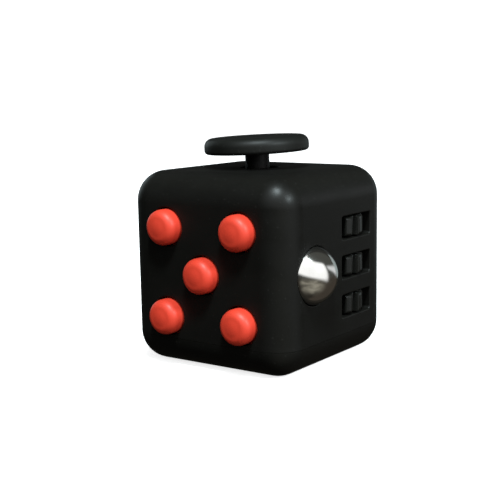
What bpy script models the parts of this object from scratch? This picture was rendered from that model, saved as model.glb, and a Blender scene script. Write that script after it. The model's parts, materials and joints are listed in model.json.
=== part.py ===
"""Fidget cube: a 33 mm hand toy with one mechanism on each of its six sides.

Front: five push buttons. Top: a joystick on a two-axis gimbal. Right: a steel ball and three gear wheels.
Back: a rocker switch. Left: a spinning dial. Bottom: a thumb dimple, moulded into the base cover.

Sizes are in millimetres, and the functions that make shapes turn them into Blender's metres. The cube
stands on z = 0, centred on x = y = 0. Each side has an empty at the middle of its face, with x to the right
and y up as that side is looked at, and z out of it, so a depth inside the cube is a negative z.
"""

import math

import bmesh
import bpy
from mathutils import Matrix, Vector

MM = 0.001

# The cube
CUBE = 33.0
HALF = CUBE / 2
EDGE_RADIUS = 5.2
WALL = 2.0
INNER_RADIUS = 2.0
SEAM_HEIGHT = 5.0
SEAM_GAP = 0.2
GAP = 0.25  # between parts that are fitted to each other
PLAY = 0.1  # radial clearance of a shaft in its bearing

# Small screws that hold the modules to the walls
SCREW_SHANK = 0.6
SCREW_HEAD = 1.5
SCREW_HEAD_HEIGHT = 0.8
SCREW_PILOT = SCREW_SHANK + PLAY
SCREW_HOLE = 0.85
PILOT_END = 0.9  # depth of the wall that is left outside a pilot hole
EAR_RADIUS = 1.6

# Front: push buttons
BUTTON_COLUMNS = 7.5  # from the middle column to the outer ones
BUTTON_ROWS = 7.6  # from the middle row to the outer ones
BUTTON_DROP = 0.15  # how far the middle row is below the middle of its side
BUTTON_RADIUS = 3.0
BUTTON_SHOULDER = 0.8
BUTTON_PROUD = 2.6
BUTTON_HOLE = 3.3
BUTTON_FLANGE = 3.7
BUTTON_FLANGE_TOP = -WALL - GAP
BUTTON_FLANGE_BOTTOM = -3.05
BUTTON_TIP = -6.2
BUTTONS = {
    "upper_left": (-1, 1),
    "upper_right": (1, 1),
    "centre": (0, 0),
    "lower_left": (-1, -1),
    "lower_right": (1, -1),
}
CLICKING = ("upper_left", "centre", "lower_right")
CLICK_PLATE_TOP = -6.0
CLICK_PLATE_BOTTOM = -7.25
CLICK_BACKING_TOP = -7.45
CLICK_BACKING_BOTTOM = -8.25
CLICK_PLATE_HALF = 10.4
CLICK_BAR_START = 5.2
CLICK_BAR_END = 11.0
CLICK_WEB_HALF = 3.6
CLICK_SCREW_OFFSET = 8.9
DOME_RADIUS = 1.75
DOME_POCKET = 2.0

# Top: joystick
DISC_RADIUS = 9.1
DISC_EDGE = 1.4
DISC_LOWER_EDGE = 0.6
DISC_UNDERSIDE = 2.65
DISC_TOP = 5.35
STEM_RADIUS = 2.1
STICK_CORE = 1.3
STICK_PIVOT = -4.8
STICK_DOME = 5.0
STICK_HOLE_OUTER = 3.5
STICK_HOLE_INNER = 4.4
STICK_LEAN = 2.2  # how far the soft centring spring lets the stick lean at rest, in degrees
STICK_LEAN_TOWARDS = 214.8  # the way it leans, in degrees from +X
RING_INNER = 3.0
RING_OUTER = 4.4
RING_HALF_HEIGHT = 0.95
TRUNNION_RADIUS = 0.58
TRUNNION_REACH = 6.3
CROSS_PIN_RADIUS = 0.5
CROSS_PIN_REACH = 4.25
CUP_INNER = 5.5
CUP_OUTER = 6.6
CUP_TOP = -2.2
CUP_FLOOR = -10.4
CUP_BOTTOM = -11.2
CUP_EARS = {"front": (0, -8.3), "back": (0, 8.3)}

# Right: ball and gear wheels
BALL_RADIUS = 5.0
BALL_X = -8.0
BALL_DEPTH = -1.45
BALL_HOLE_OUTER = 4.9
BALL_HOLE_INNER = 5.3
BALL_CUP_RADIUS = 3.4
BALL_CARRIER_INNER = 3.65
BALL_CARRIER_OUTER = 4.6
BALL_CARRIER_FLOOR = -11.4
BALL_CARRIER_BOTTOM = -12.2
BALL_FLANGE_RADIUS = 5.9
BALL_FLANGE_TOP = -3.2
BALL_FLANGE_BOTTOM = -4.2
BALL_EARS = {"lower": (BALL_X, -7.6), "upper": (BALL_X, 7.6)}
GEAR_X = 5.3
GEAR_PITCH = 6.7
GEAR_DEPTH = -5.1
GEAR_TIP = 5.5
GEAR_ROOT = 4.4
GEAR_TEETH = 11
GEAR_WIDTH = 3.3
GEARS = {"upper": 1, "middle": 0, "lower": -1}
WINDOW_WIDTH = 9.5
WINDOW_HEIGHT = 3.9
AXLE_RADIUS = 0.75
AXLE_HALF = 9.55
CARRIER_HALF_LENGTH = 9.8
CARRIER_TOP = -WALL - GAP
CARRIER_BOTTOM = -6.5
CARRIER_LEFT = -6.55  # from the axle
CARRIER_RIGHT = 7.45
POCKET_HALF_WIDTH = 5.75
POCKET_HALF_HEIGHT = 1.9
DETENT_X = 6.35  # from the axle
DETENT_BUMP = 1.35
DETENT_SHEET = 0.2
DETENT_HALF_WIDTH = 0.45
GEAR_EAR = (GEAR_X, 11.6)
GEAR_EAR_THICKNESS = 1.1

# Back: rocker switch
ROCKER_WIDTH = 8.2
ROCKER_WINDOW_WIDTH = 8.8
ROCKER_WINDOW_HEIGHT = 15.8
ROCKER_PIVOT = -3.3
ROCKER_SWING = 9.0
ROCKER_HEEL = -4.4
ROCKER_PIN_RADIUS = 0.6
FRAME_HALF_WIDTH = 5.9
FRAME_HALF_HEIGHT = 8.9
FRAME_CAVITY_HALF_WIDTH = 4.7
FRAME_CAVITY_HALF_HEIGHT = 8.1
FRAME_FLOOR = -8.3
FRAME_BOTTOM = -9.1
FRAME_EARS = {"right": (-7.7, 0), "left": (7.7, 0)}

# Left: dial
DIAL_RADIUS = 9.3
DIAL_PROUD = 3.0
DIAL_RECESS_RADIUS = 9.65
DIAL_RECESS_DEPTH = 0.5
DIAL_HUB = 2.4
DIAL_BUSH = 3.2
DIAL_DIMPLE_OFFSET = 4.9
DIAL_DIMPLE_RADIUS = 3.2
DIAL_DIMPLE_DEPTH = 1.0

# Bottom: base cover with the thumb dimple
COVER_FLOOR = 2.0
LIP_TOP = 6.4
LIP_THICKNESS = 1.2
THUMB_RADIUS = 9.5
THUMB_DEPTH = 2.1
THUMB_WALL = 1.7

BIG = 60.0  # a cutter's size where it only has to be larger than the cube
ALONG_X = (0, 90, 0)
ALONG_Y = (90, 0, 0)

COLOURS = {
    "black_plastic": ((0.018, 0.018, 0.019), 0.5, 0.0),
    "red_plastic": ((0.72, 0.06, 0.035), 0.45, 0.0),
    "black_rubber": ((0.015, 0.015, 0.016), 0.6, 0.0),
    "chromed_steel": ((0.72, 0.71, 0.69), 0.12, 1.0),
    "spring_steel": ((0.55, 0.55, 0.56), 0.3, 1.0),
    "zinc_steel": ((0.62, 0.62, 0.64), 0.35, 1.0),
    "inner_plastic": ((0.03, 0.03, 0.032), 0.55, 0.0),
}


def mm(point):
    """A point or size in millimetres, as metres."""
    return Vector(point) * MM


def start_scene():
    for obj in list(bpy.data.objects):
        bpy.data.objects.remove(obj)
    parts = bpy.data.collections.new("fidget_cube")
    cutters = bpy.data.collections.new("cutters")
    for collection in (parts, cutters):
        bpy.context.scene.collection.children.link(collection)
    return parts, cutters


PARTS, CUTTERS = start_scene()


def make_material(name):
    colour, roughness, metallic = COLOURS[name]
    made = bpy.data.materials.new(name)
    made.use_nodes = True
    shader = made.node_tree.nodes["Principled BSDF"]
    shader.inputs["Base Color"].default_value = (*colour, 1.0)
    shader.inputs["Roughness"].default_value = roughness
    shader.inputs["Metallic"].default_value = metallic
    return made


MATERIALS = {name: make_material(name) for name in COLOURS}


def empty(name, parent=None, at=(0, 0, 0), turn=(0, 0, 0)):
    made = bpy.data.objects.new(name, None)
    PARTS.objects.link(made)
    return place(made, parent, at, turn)


def place(obj, parent, at=(0, 0, 0), turn=(0, 0, 0)):
    """Sets where obj is in its parent's frame: at in millimetres, turn in degrees."""
    obj.parent = parent
    obj.location = mm(at)
    obj.rotation_euler = [math.radians(angle) for angle in turn]
    return obj


FACES = {
    "front": empty("front_face", None, (0, -HALF, HALF), (90, 0, 0)),
    "right": empty("right_face", None, (HALF, 0, HALF), (90, 0, 90)),
    "back": empty("back_face", None, (0, HALF, HALF), (90, 0, 180)),
    "left": empty("left_face", None, (-HALF, 0, HALF), (90, 0, -90)),
    "top": empty("top_face", None, (0, 0, CUBE)),
    "bottom": empty("bottom_face", None, (0, 0, 0), (180, 0, 0)),
}


def add(name, mesh, material, parent, at, turn):
    """A part, or a cutter when it has no material."""
    obj = bpy.data.objects.new(name, mesh)
    if material:
        PARTS.objects.link(obj)
        mesh.materials.append(MATERIALS[material])
    else:
        CUTTERS.objects.link(obj)
        obj.hide_render = True
        obj.display_type = "WIRE"
    return place(obj, parent, at, turn)


def box(name, low, high, material=None, parent=None, bevel=0.0, segments=3):
    """A box between two corners, with all its edges rounded if bevel is given."""
    low, high = Vector(low), Vector(high)
    mesh = bpy.data.meshes.new(name)
    shape = bmesh.new()
    bmesh.ops.create_cube(shape, size=1.0)
    bmesh.ops.scale(shape, vec=mm(high - low), verts=shape.verts)
    shape.to_mesh(mesh)
    shape.free()
    obj = add(name, mesh, material, parent, (low + high) / 2, (0, 0, 0))
    if bevel:
        round_edges(obj, bevel, segments)
    return obj


def round_edges(obj, width, segments):
    bevel = obj.modifiers.new("rounded_edges", "BEVEL")
    bevel.width = width * MM
    bevel.segments = segments
    return obj


def turned(name, profile, material=None, parent=None, at=(0, 0, 0), turn=(0, 0, 0), steps=20, ring=False):
    """A turned shape about its own z. The profile's (radius, height) points run down its outer side.

    A solid's profile starts and ends on the axis. A ring's is a closed loop that doesn't touch it.
    """
    count = len(profile)
    edges = [(i, i + 1) for i in range(count - 1)]
    if ring:
        edges.append((count - 1, 0))
    mesh = bpy.data.meshes.new(name)
    mesh.from_pydata([mm((radius, 0, height)) for radius, height in profile], edges, [])
    obj = add(name, mesh, material, parent, at, turn)
    screw = obj.modifiers.new("turned", "SCREW")
    screw.steps = steps
    screw.render_steps = steps
    screw.use_merge_vertices = True
    screw.merge_threshold = 1e-6
    screw.use_smooth_shade = True
    return obj


def rod(name, radius, start, end, material=None, parent=None, at=(0, 0, 0), turn=(0, 0, 0), steps=16):
    """A plain round bar along its own z, from height start up to height end."""
    profile = [(0, end), (radius, end), (radius, start), (0, start)]
    return turned(name, profile, material, parent, at, turn, steps)


def arc(centre, radius, first, last, count):
    """Points on a circle from angle first to angle last, in degrees."""
    angles = [math.radians(first + (last - first) * i / count) for i in range(count + 1)]
    return [(centre[0] + radius * math.cos(a), centre[1] + radius * math.sin(a)) for a in angles]


def circle(centre, radius, count=20):
    return arc(centre, radius, 0, 360 - 360 / count, count - 1)


def rounded_rectangle(width, height, radius, centre=(0, 0), count=3):
    points = []
    for quarter, (sx, sy) in enumerate(((1, 1), (-1, 1), (-1, -1), (1, -1))):
        corner = (centre[0] + sx * (width / 2 - radius), centre[1] + sy * (height / 2 - radius))
        points += arc(corner, radius, 90 * quarter, 90 * quarter + 90, count)
    return points


def flat(name, outlines, low, high, material=None, parent=None, at=(0, 0, 0), turn=(0, 0, 0)):
    """A flat piece from height low to high. The first outline is its edge and the others are holes."""
    curve = bpy.data.curves.new(name, "CURVE")
    curve.dimensions = "2D"
    curve.fill_mode = "BOTH"
    curve.extrude = (high - low) / 2 * MM
    for outline in outlines:
        spline = curve.splines.new("POLY")
        spline.points.add(len(outline) - 1)
        for point, (x, y) in zip(spline.points, outline):
            point.co = (x * MM, y * MM, 0, 1)
        spline.use_cyclic_u = True
    drawn = bpy.data.objects.new(name + "_outline", curve)
    bpy.context.scene.collection.objects.link(drawn)
    graph = bpy.context.evaluated_depsgraph_get()
    mesh = bpy.data.meshes.new_from_object(drawn.evaluated_get(graph))
    bpy.data.objects.remove(drawn)
    shape = bmesh.new()
    shape.from_mesh(mesh)
    bmesh.ops.remove_doubles(shape, verts=shape.verts, dist=1e-6)
    bmesh.ops.translate(shape, vec=mm((0, 0, (low + high) / 2)), verts=shape.verts)
    bmesh.ops.recalc_face_normals(shape, faces=shape.faces)
    shape.to_mesh(mesh)
    shape.free()
    mesh.materials.clear()
    return add(name, mesh, material, parent, at, turn)


def coil(name, radius, wire, bottom, top, turns, parent, at=(0, 0, 0), per_turn=9):
    """A compression spring along its own z."""
    curve = bpy.data.curves.new(name, "CURVE")
    curve.dimensions = "3D"
    curve.bevel_depth = wire / 2 * MM
    curve.bevel_resolution = 1
    curve.use_fill_caps = True
    count = round(turns * per_turn)
    spline = curve.splines.new("POLY")
    spline.points.add(count)
    low = bottom + wire / 2
    rise = top - bottom - wire
    for i, point in enumerate(spline.points):
        angle = 2 * math.pi * i / per_turn
        place_on_turn = (radius * math.cos(angle), radius * math.sin(angle), low + rise * i / count)
        point.co = (*mm(place_on_turn), 1)
    return add(name, curve, "spring_steel", parent, at, (0, 0, 0))


def snap_dome(name, radius, height, sheet, bottom, parent, at=(0, 0, 0)):
    """A sprung metal dome that clicks as it is flattened."""
    curve = (radius**2 + height**2) / (2 * height)
    span = math.degrees(math.asin(radius / curve))
    centre = (0, bottom + sheet + height - curve)
    outer = arc(centre, curve, 90, 90 - span, 3)
    inner = [(r, z - sheet) for r, z in reversed(outer)]
    return turned(name, outer + inner, "spring_steel", parent, at, steps=14)


def screw(name, top, end, parent, at=(0, 0, 0)):
    """A small pan-head screw. Its head is on the inner side of height top, and its shank goes to end."""
    head = top - SCREW_HEAD_HEIGHT
    profile = [
        (0, end),
        (SCREW_SHANK, end - 0.35),
        (SCREW_SHANK, top),
        (SCREW_HEAD, top),
        (SCREW_HEAD, head + 0.25),
        (SCREW_HEAD - 0.3, head),
        (0, head),
    ]
    obj = turned(name, profile, "zinc_steel", parent, at, steps=12)
    x, y, _ = at
    low, high = (x - 5, y - 0.2, head - 1), (x + 5, y + 0.2, head + 0.35)
    return cut(obj, box(name + "_slot", low, high, None, parent))


def boolean(obj, other, operation):
    modifier = obj.modifiers.new(other.name, "BOOLEAN")
    modifier.operation = operation
    modifier.object = other
    modifier.solver = "EXACT"
    return obj


def cut(obj, *cutters):
    for cutter in cutters:
        boolean(obj, cutter, "DIFFERENCE")
    return obj


def join(obj, *others):
    for other in others:
        boolean(obj, other, "UNION")
    return obj


def wall_hole(name, radius, face, at=(0, 0, 0), steps=24):
    """A cutter for a round hole through the outer wall."""
    return rod(name, radius, -WALL - 1, 1, None, face, at, steps=steps)


def bore(name, radius, parent, at=(0, 0, 0), turn=(0, 0, 0)):
    """A cutter for a long round hole, both ways from its middle."""
    return rod(name, radius, -BIG / 4, BIG / 4, None, parent, at, turn)


def wall_cone(name, outer, inner, face, at=(0, 0, 0), steps=32):
    """A cutter for a tapered hole through the wall, from one radius outside to another inside."""
    slope = (inner - outer) / WALL
    over = 0.5
    high, low = over, -WALL - over
    profile = [(0, high), (outer - slope * over, high), (inner + slope * over, low), (0, low)]
    return turned(name, profile, None, face, at, steps=steps)


def add_boss(body, name, face, spot, top):
    """Joins a round post to the wall's inner side, ending at depth top."""
    return join(body, rod(name, EAR_RADIUS, top, -WALL / 2, None, face, (*spot, 0), steps=20))


def add_ear(body, name, face, spot, root, top, thickness):
    """Joins a screw ear to body, with a neck that reaches in from spot to root."""
    bottom = top - thickness
    ear = rod(name, EAR_RADIUS, bottom, top, None, face, (*spot, 0))
    across = EAR_RADIUS - 0.01
    pairs = list(zip(spot, root))
    low = [a - across if a == b else min(a, b) for a, b in pairs]
    high = [a + across if a == b else max(a, b) for a, b in pairs]
    neck = box(name + "_neck", (*low, bottom + 0.01), (*high, top - 0.01), None, face)
    return join(body, ear, neck)


def fasten(body, name, face, spot, top, thickness, end):
    """Drills a screw ear, and puts in its screw, whose shank goes out to depth end."""
    under = top - thickness
    cut(body, rod(name + "_hole", SCREW_HOLE, under - 2, top + 1, None, face, (*spot, 0), steps=12))
    screw(name, under - 0.1, end, face, (*spot, 0))


# --------------------------------------------------------------------------------------------- casing


def casing_block(name):
    """The outside of the whole cube, with its rounded edges."""
    return box(name, (-HALF, -HALF, 0), (HALF, HALF, CUBE), "black_plastic", None, EDGE_RADIUS, 5)


def casing_inside(name, floor, ceiling):
    """A cutter for the hollow inside the walls."""
    inside = HALF - WALL
    return box(name, (-inside, -inside, floor), (inside, inside, ceiling), None, None, INNER_RADIUS)


def build_housing():
    """The five-sided shell that carries every mechanism."""
    housing = casing_block("housing")
    below_seam = box("below_seam", (-BIG, -BIG, -BIG), (BIG, BIG, SEAM_HEIGHT + SEAM_GAP / 2))
    cut(housing, casing_inside("cavity", -BIG / 6, CUBE - WALL), below_seam)
    add_click_features(housing)
    add_glide_features(housing)
    add_roll_features(housing)
    add_flip_features(housing)
    add_spin_features(housing)
    return housing


def pilot_holes(body, name, parent, points, start):
    """Blind holes for screws, from depth start to where PILOT_END of the wall is left."""
    for i, (x, y) in enumerate(points):
        at = (x, y, 0)
        cut(body, rod(f"{name}_pilot_{i}", SCREW_PILOT, start - 1, -PILOT_END, None, parent, at, steps=14))


def button_spot(name):
    """Where a button is on its side: across and up from the middle."""
    column, row = BUTTONS[name]
    return (column * BUTTON_COLUMNS, row * BUTTON_ROWS - BUTTON_DROP)


def add_click_features(housing):
    face = FACES["front"]
    for name in BUTTONS:
        cut(housing, wall_hole(f"button_hole_{name}", BUTTON_HOLE, face, (*button_spot(name), 0)))
    for side in (-1, 1):
        spot = (0, side * CLICK_SCREW_OFFSET)
        add_boss(housing, f"click_boss_{side}", face, spot, CLICK_PLATE_TOP + PLAY)
        at = (*spot, 0)
        cut(housing, rod(f"click_pilot_{side}", SCREW_PILOT, CLICK_PLATE_TOP, -2.8, None, face, at, steps=14))


def add_glide_features(housing):
    face = FACES["top"]
    cut(housing, wall_cone("stick_hole", STICK_HOLE_OUTER, STICK_HOLE_INNER, face))
    pilot_holes(housing, "gimbal", face, CUP_EARS.values(), -WALL)


def add_roll_features(housing):
    face = FACES["right"]
    cut(housing, wall_cone("ball_hole", BALL_HOLE_OUTER, BALL_HOLE_INNER, face, (BALL_X, 0, 0)))
    for name, row in GEARS.items():
        outline = rounded_rectangle(WINDOW_WIDTH, WINDOW_HEIGHT, 0.5)
        at = (GEAR_X, row * GEAR_PITCH, 0)
        cut(housing, flat(f"gear_window_{name}", [outline], -WALL - 1, 1, None, face, at))
    for name, spot in BALL_EARS.items():
        add_boss(housing, f"ball_boss_{name}", face, spot, BALL_FLANGE_TOP + PLAY)
    pilot_holes(housing, "ball", face, BALL_EARS.values(), BALL_FLANGE_TOP)
    pilot_holes(housing, "gear", face, [GEAR_EAR], -WALL)


def add_flip_features(housing):
    face = FACES["back"]
    outline = rounded_rectangle(ROCKER_WINDOW_WIDTH, ROCKER_WINDOW_HEIGHT, 0.9)
    cut(housing, flat("rocker_window", [outline], -WALL - 1, 1, None, face))
    pilot_holes(housing, "rocker", face, FRAME_EARS.values(), -WALL)


def add_spin_features(housing):
    face = FACES["left"]
    recess = rod("dial_recess", DIAL_RECESS_RADIUS, -DIAL_RECESS_DEPTH, 1, None, face, steps=36)
    cut(housing, recess, wall_hole("dial_hub_hole", DIAL_BUSH + 0.15, face))


def build_base_cover():
    """The lower 5 mm of the casing, with a lip that fits inside the housing and the thumb dimple below."""
    cover = casing_block("base_cover")
    above_seam = box("above_seam", (-BIG, -BIG, SEAM_HEIGHT - SEAM_GAP / 2), (BIG, BIG, BIG))
    cut(cover, above_seam, casing_inside("tray", COVER_FLOOR, CUBE))
    join(cover, cover_lip(HALF - WALL - GAP))
    bulge = THUMB_DEPTH + THUMB_WALL
    profile = [(0, bulge), (3.5, bulge), (7.5, bulge - 0.5), (THUMB_RADIUS + 0.8, COVER_FLOOR - 0.5)]
    profile += [(THUMB_RADIUS + 0.8, 0.6), (0, 0.6)]
    join(cover, turned("dimple_wall", profile, None, None, steps=32))
    sphere = (THUMB_RADIUS**2 + THUMB_DEPTH**2) / (2 * THUMB_DEPTH)
    span = math.degrees(math.asin((THUMB_RADIUS + 0.6) / sphere))
    thumb = arc((0, THUMB_DEPTH - sphere), sphere, 90, 90 - span, 6)
    return cut(cover, turned("thumb_cutter", thumb + [(0, thumb[-1][1])], None, None, steps=32))


def cover_lip(outside):
    """A ring inside the housing's wall, open at the front to clear the lower buttons."""
    size = 2 * outside
    outer = rounded_rectangle(size, size, INNER_RADIUS)
    inner = rounded_rectangle(size - 2 * LIP_THICKNESS, size - 2 * LIP_THICKNESS, 1.0)
    lip = flat("cover_lip", [outer, inner], COVER_FLOOR - 0.5, LIP_TOP)
    front_cut = box("lip_front_cut", (-12, -BIG, SEAM_HEIGHT - 0.3), (12, -outside + 2, BIG))
    return cut(lip, front_cut)


# ---------------------------------------------------------------------------------- front: push buttons


def build_buttons():
    face = FACES["front"]
    plate_depth = CLICK_PLATE_TOP + PLAY
    for name in BUTTONS:
        at = (*button_spot(name), 0)
        shoulder, flat_end = BUTTON_SHOULDER, BUTTON_RADIUS - BUTTON_SHOULDER
        crown = [(0, BUTTON_PROUD), (flat_end / 2, BUTTON_PROUD - 0.05)]
        crown += arc((flat_end, BUTTON_PROUD - 0.2 - shoulder), shoulder, 80, 0, 4)
        inner_end = [
            (BUTTON_RADIUS, BUTTON_FLANGE_TOP),
            (BUTTON_FLANGE, BUTTON_FLANGE_TOP),
            (BUTTON_FLANGE, BUTTON_FLANGE_BOTTOM),
            (1.0, BUTTON_FLANGE_BOTTOM),
            (1.0, BUTTON_TIP),
            (0, BUTTON_TIP),
        ]
        turned(f"button_{name}", crown + inner_end, "red_plastic", face, at)
        spring_top = BUTTON_FLANGE_BOTTOM - 0.05
        coil(f"button_spring_{name}", 1.55, 0.35, plate_depth, spring_top, 3, face, at)


def click_outline(inset):
    """An I shape: a bar behind each outer row of buttons, joined by a web behind the centre one."""
    end, start = CLICK_BAR_END - inset, CLICK_BAR_START + inset
    half, web = CLICK_PLATE_HALF - inset, CLICK_WEB_HALF - inset
    slant = start + 0.4
    right = [(half, end), (half, slant), (web, start), (web, -start), (half, -slant), (half, -end)]
    left = [(-x, y) for x, y in reversed(right)]
    return (right + left)[::-1]


def build_click_module():
    """The plate behind the buttons, a snap dome in it for each clicking one, and the steel plate behind."""
    face = FACES["front"]
    spots = {name: button_spot(name) for name in BUTTONS}
    screws = {"lower": (0, -CLICK_SCREW_OFFSET), "upper": (0, CLICK_SCREW_OFFSET)}
    screw_holes = [circle(spot, SCREW_HOLE, 12) for spot in screws.values()]
    outlines = [click_outline(0)] + [circle(spot, 1.2, 12) for spot in spots.values()] + screw_holes
    plate = flat("click_plate", outlines, CLICK_PLATE_BOTTOM, CLICK_PLATE_TOP, "inner_plastic", face)
    low, high = CLICK_PLATE_BOTTOM - 1, CLICK_PLATE_TOP - 0.5
    for name in CLICKING:
        at = (*spots[name], 0)
        cut(plate, rod(f"dome_pocket_{name}", DOME_POCKET, low, high, None, face, at))
        snap_dome(f"click_dome_{name}", DOME_RADIUS, 0.3, 0.15, CLICK_PLATE_BOTTOM + 0.02, face, at)
    outlines = [click_outline(0.4)] + screw_holes
    flat("click_backing_plate", outlines, CLICK_BACKING_BOTTOM, CLICK_BACKING_TOP, "zinc_steel", face)
    for name, spot in screws.items():
        screw(f"click_screw_{name}", CLICK_BACKING_BOTTOM - 0.1, -3.2, face, (*spot, 0))


# --------------------------------------------------------------------------------------- top: joystick


def build_joystick():
    face = FACES["top"]
    towards = math.radians(STICK_LEAN_TOWARDS)
    lean_about_x = -STICK_LEAN * math.sin(towards)
    lean_about_y = STICK_LEAN * math.cos(towards)
    ring_pivot = empty("gimbal_ring_pivot", face, (0, 0, STICK_PIVOT), (lean_about_x, 0, 0))
    stick_pivot = empty("stick_pivot", ring_pivot, (0, 0, 0), (0, lean_about_y, 0))
    build_thumb_disc(stick_pivot)
    build_stick(stick_pivot)
    build_gimbal_ring(ring_pivot)
    reach, middle = CROSS_PIN_REACH, (0, 0, 0)
    rod("gimbal_cross_pin", CROSS_PIN_RADIUS, -reach, reach, "zinc_steel", stick_pivot, middle, ALONG_Y, 14)
    build_gimbal_cup(face)
    coil("centring_spring", 1.95, 0.4, CUP_FLOOR + 0.1, STICK_PIVOT - 2.65, 3, face)


def build_thumb_disc(pivot):
    """The round thumb pad, with the sleeve that covers the stick."""
    up = -STICK_PIVOT
    top, under = DISC_TOP + up, DISC_UNDERSIDE + up
    socket = STICK_CORE + PLAY
    rim, lower_edge = DISC_RADIUS - DISC_EDGE, DISC_LOWER_EDGE
    profile = [(0, top - 0.22), (4.0, top - 0.16), (7.0, top), (rim, top)]
    profile += arc((rim, top - DISC_EDGE), DISC_EDGE, 75, 0, 4)
    profile += arc((DISC_RADIUS - lower_edge, under + lower_edge), lower_edge, 0, -75, 3)
    profile += [
        (DISC_RADIUS - 1, under),
        (STEM_RADIUS + 0.35, under),
        (STEM_RADIUS, under - 0.35),
        (STEM_RADIUS, up - 0.3),
        (socket, up - 0.3),
        (socket, top - 0.85),
        (0, top - 0.85),
    ]
    turned("thumb_disc", profile, "black_rubber", pivot, steps=32)


def angle_from_height(height, radius):
    return math.degrees(math.asin(height / radius))


def build_stick(pivot):
    """The stick's core: a spigot for the disc, a dome that closes the hole, and a foot for the spring."""
    up = -STICK_PIVOT
    tip, shoulder = DISC_TOP + up - 1.05, up - 0.45
    neck, core, inner, edge = 2.5, 1.9, STICK_DOME - 0.8, 2.4
    from_neck = 90 - angle_from_height(neck, STICK_DOME)
    to_core = 90 - angle_from_height(core, inner)
    profile = [(0, tip), (STICK_CORE, tip), (STICK_CORE, shoulder)]
    profile += arc((0, 0), STICK_DOME, from_neck, angle_from_height(edge, STICK_DOME), 4)
    profile += arc((0, 0), inner, angle_from_height(edge, inner), to_core, 3)
    profile += [(core, -1.8), (2.6, -1.8), (2.6, -2.5), (1.1, -2.5), (1.1, -3.8), (0, -3.8)]
    stick = turned("joystick_stem", profile, "black_plastic", pivot, steps=24)
    cut(stick, bore("stick_cross_bore", CROSS_PIN_RADIUS + PLAY, pivot, turn=ALONG_Y))


def build_gimbal_ring(pivot):
    """The ring between the stick and the cup, with a trunnion at each side."""
    half, reach = RING_HALF_HEIGHT, TRUNNION_REACH
    profile = [(RING_INNER, half), (RING_OUTER, half), (RING_OUTER, -half), (RING_INNER, -half)]
    ring = turned("gimbal_ring", profile, "inner_plastic", pivot, steps=24, ring=True)
    join(ring, rod("trunnions", TRUNNION_RADIUS, -reach, reach, None, pivot, turn=ALONG_X, steps=14))
    cut(ring, rod("ring_middle", RING_INNER, -2, 2, None, pivot, steps=24))
    cut(ring, bore("ring_cross_bore", CROSS_PIN_RADIUS + PLAY, pivot, turn=ALONG_Y))


def build_gimbal_cup(face):
    """The cup under the top wall, with an open-topped bearing for each trunnion and two screw ears."""
    outside = [(0, CUP_TOP), (CUP_OUTER, CUP_TOP), (CUP_OUTER, CUP_BOTTOM), (0, CUP_BOTTOM)]
    cup = turned("gimbal_cup", outside, "inner_plastic", face, steps=24)
    ears = [(name, spot, (0, math.copysign(CUP_INNER - 0.5, spot[1]))) for name, spot in CUP_EARS.items()]
    for name, spot, root in ears:
        add_ear(cup, f"cup_ear_{name}", face, spot, root, CUP_TOP, 1.0)
    slot = TRUNNION_RADIUS + PLAY
    entry_half = slot - 0.05
    entry = box("trunnion_entry", (-BIG, -entry_half, STICK_PIVOT), (BIG, entry_half, 1), None, face)
    cut(cup, rod("cup_inside", CUP_INNER, CUP_FLOOR, 1, None, face, steps=24))
    cut(cup, bore("trunnion_bearing", slot, face, (0, 0, STICK_PIVOT), ALONG_X), entry)
    for name, spot, _ in ears:
        fasten(cup, f"gimbal_screw_{name}", face, spot, CUP_TOP, 1.0, -1.05)


# ------------------------------------------------------------------------------------- right: the ball


def build_ball():
    face = FACES["right"]
    centre = (BALL_X, 0, BALL_DEPTH)
    mesh = bpy.data.meshes.new("steel_ball")
    shape = bmesh.new()
    bmesh.ops.create_uvsphere(shape, u_segments=24, v_segments=16, radius=BALL_RADIUS * MM)
    for polygon in shape.faces:
        polygon.smooth = True
    shape.to_mesh(mesh)
    shape.free()
    add("steel_ball", mesh, "chromed_steel", face, centre, (0, 0, 0))
    seat_radius = BALL_RADIUS + PLAY
    rim = BALL_CUP_RADIUS - 0.1
    rim_angle = -math.degrees(math.acos(rim / seat_radius))
    seat = arc((0, BALL_DEPTH), seat_radius, -90, rim_angle, 5)
    outer, bottom, tip = BALL_CUP_RADIUS, -8.0, -9.9
    outside = [(outer, seat[-1][1]), (outer, bottom), (1.2, bottom), (1.2, tip), (0, tip)]
    at = (BALL_X, 0, 0)
    turned("ball_cup", seat + outside, "inner_plastic", face, at)
    coil("ball_spring", 2.6, 0.4, BALL_CARRIER_FLOOR + 0.1, bottom - 0.1, 3, face, at, 10)
    snap_dome("ball_click_dome", 2.0, 0.4, 0.18, BALL_CARRIER_FLOOR + 0.05, face, at)
    build_ball_carrier(face)


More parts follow.
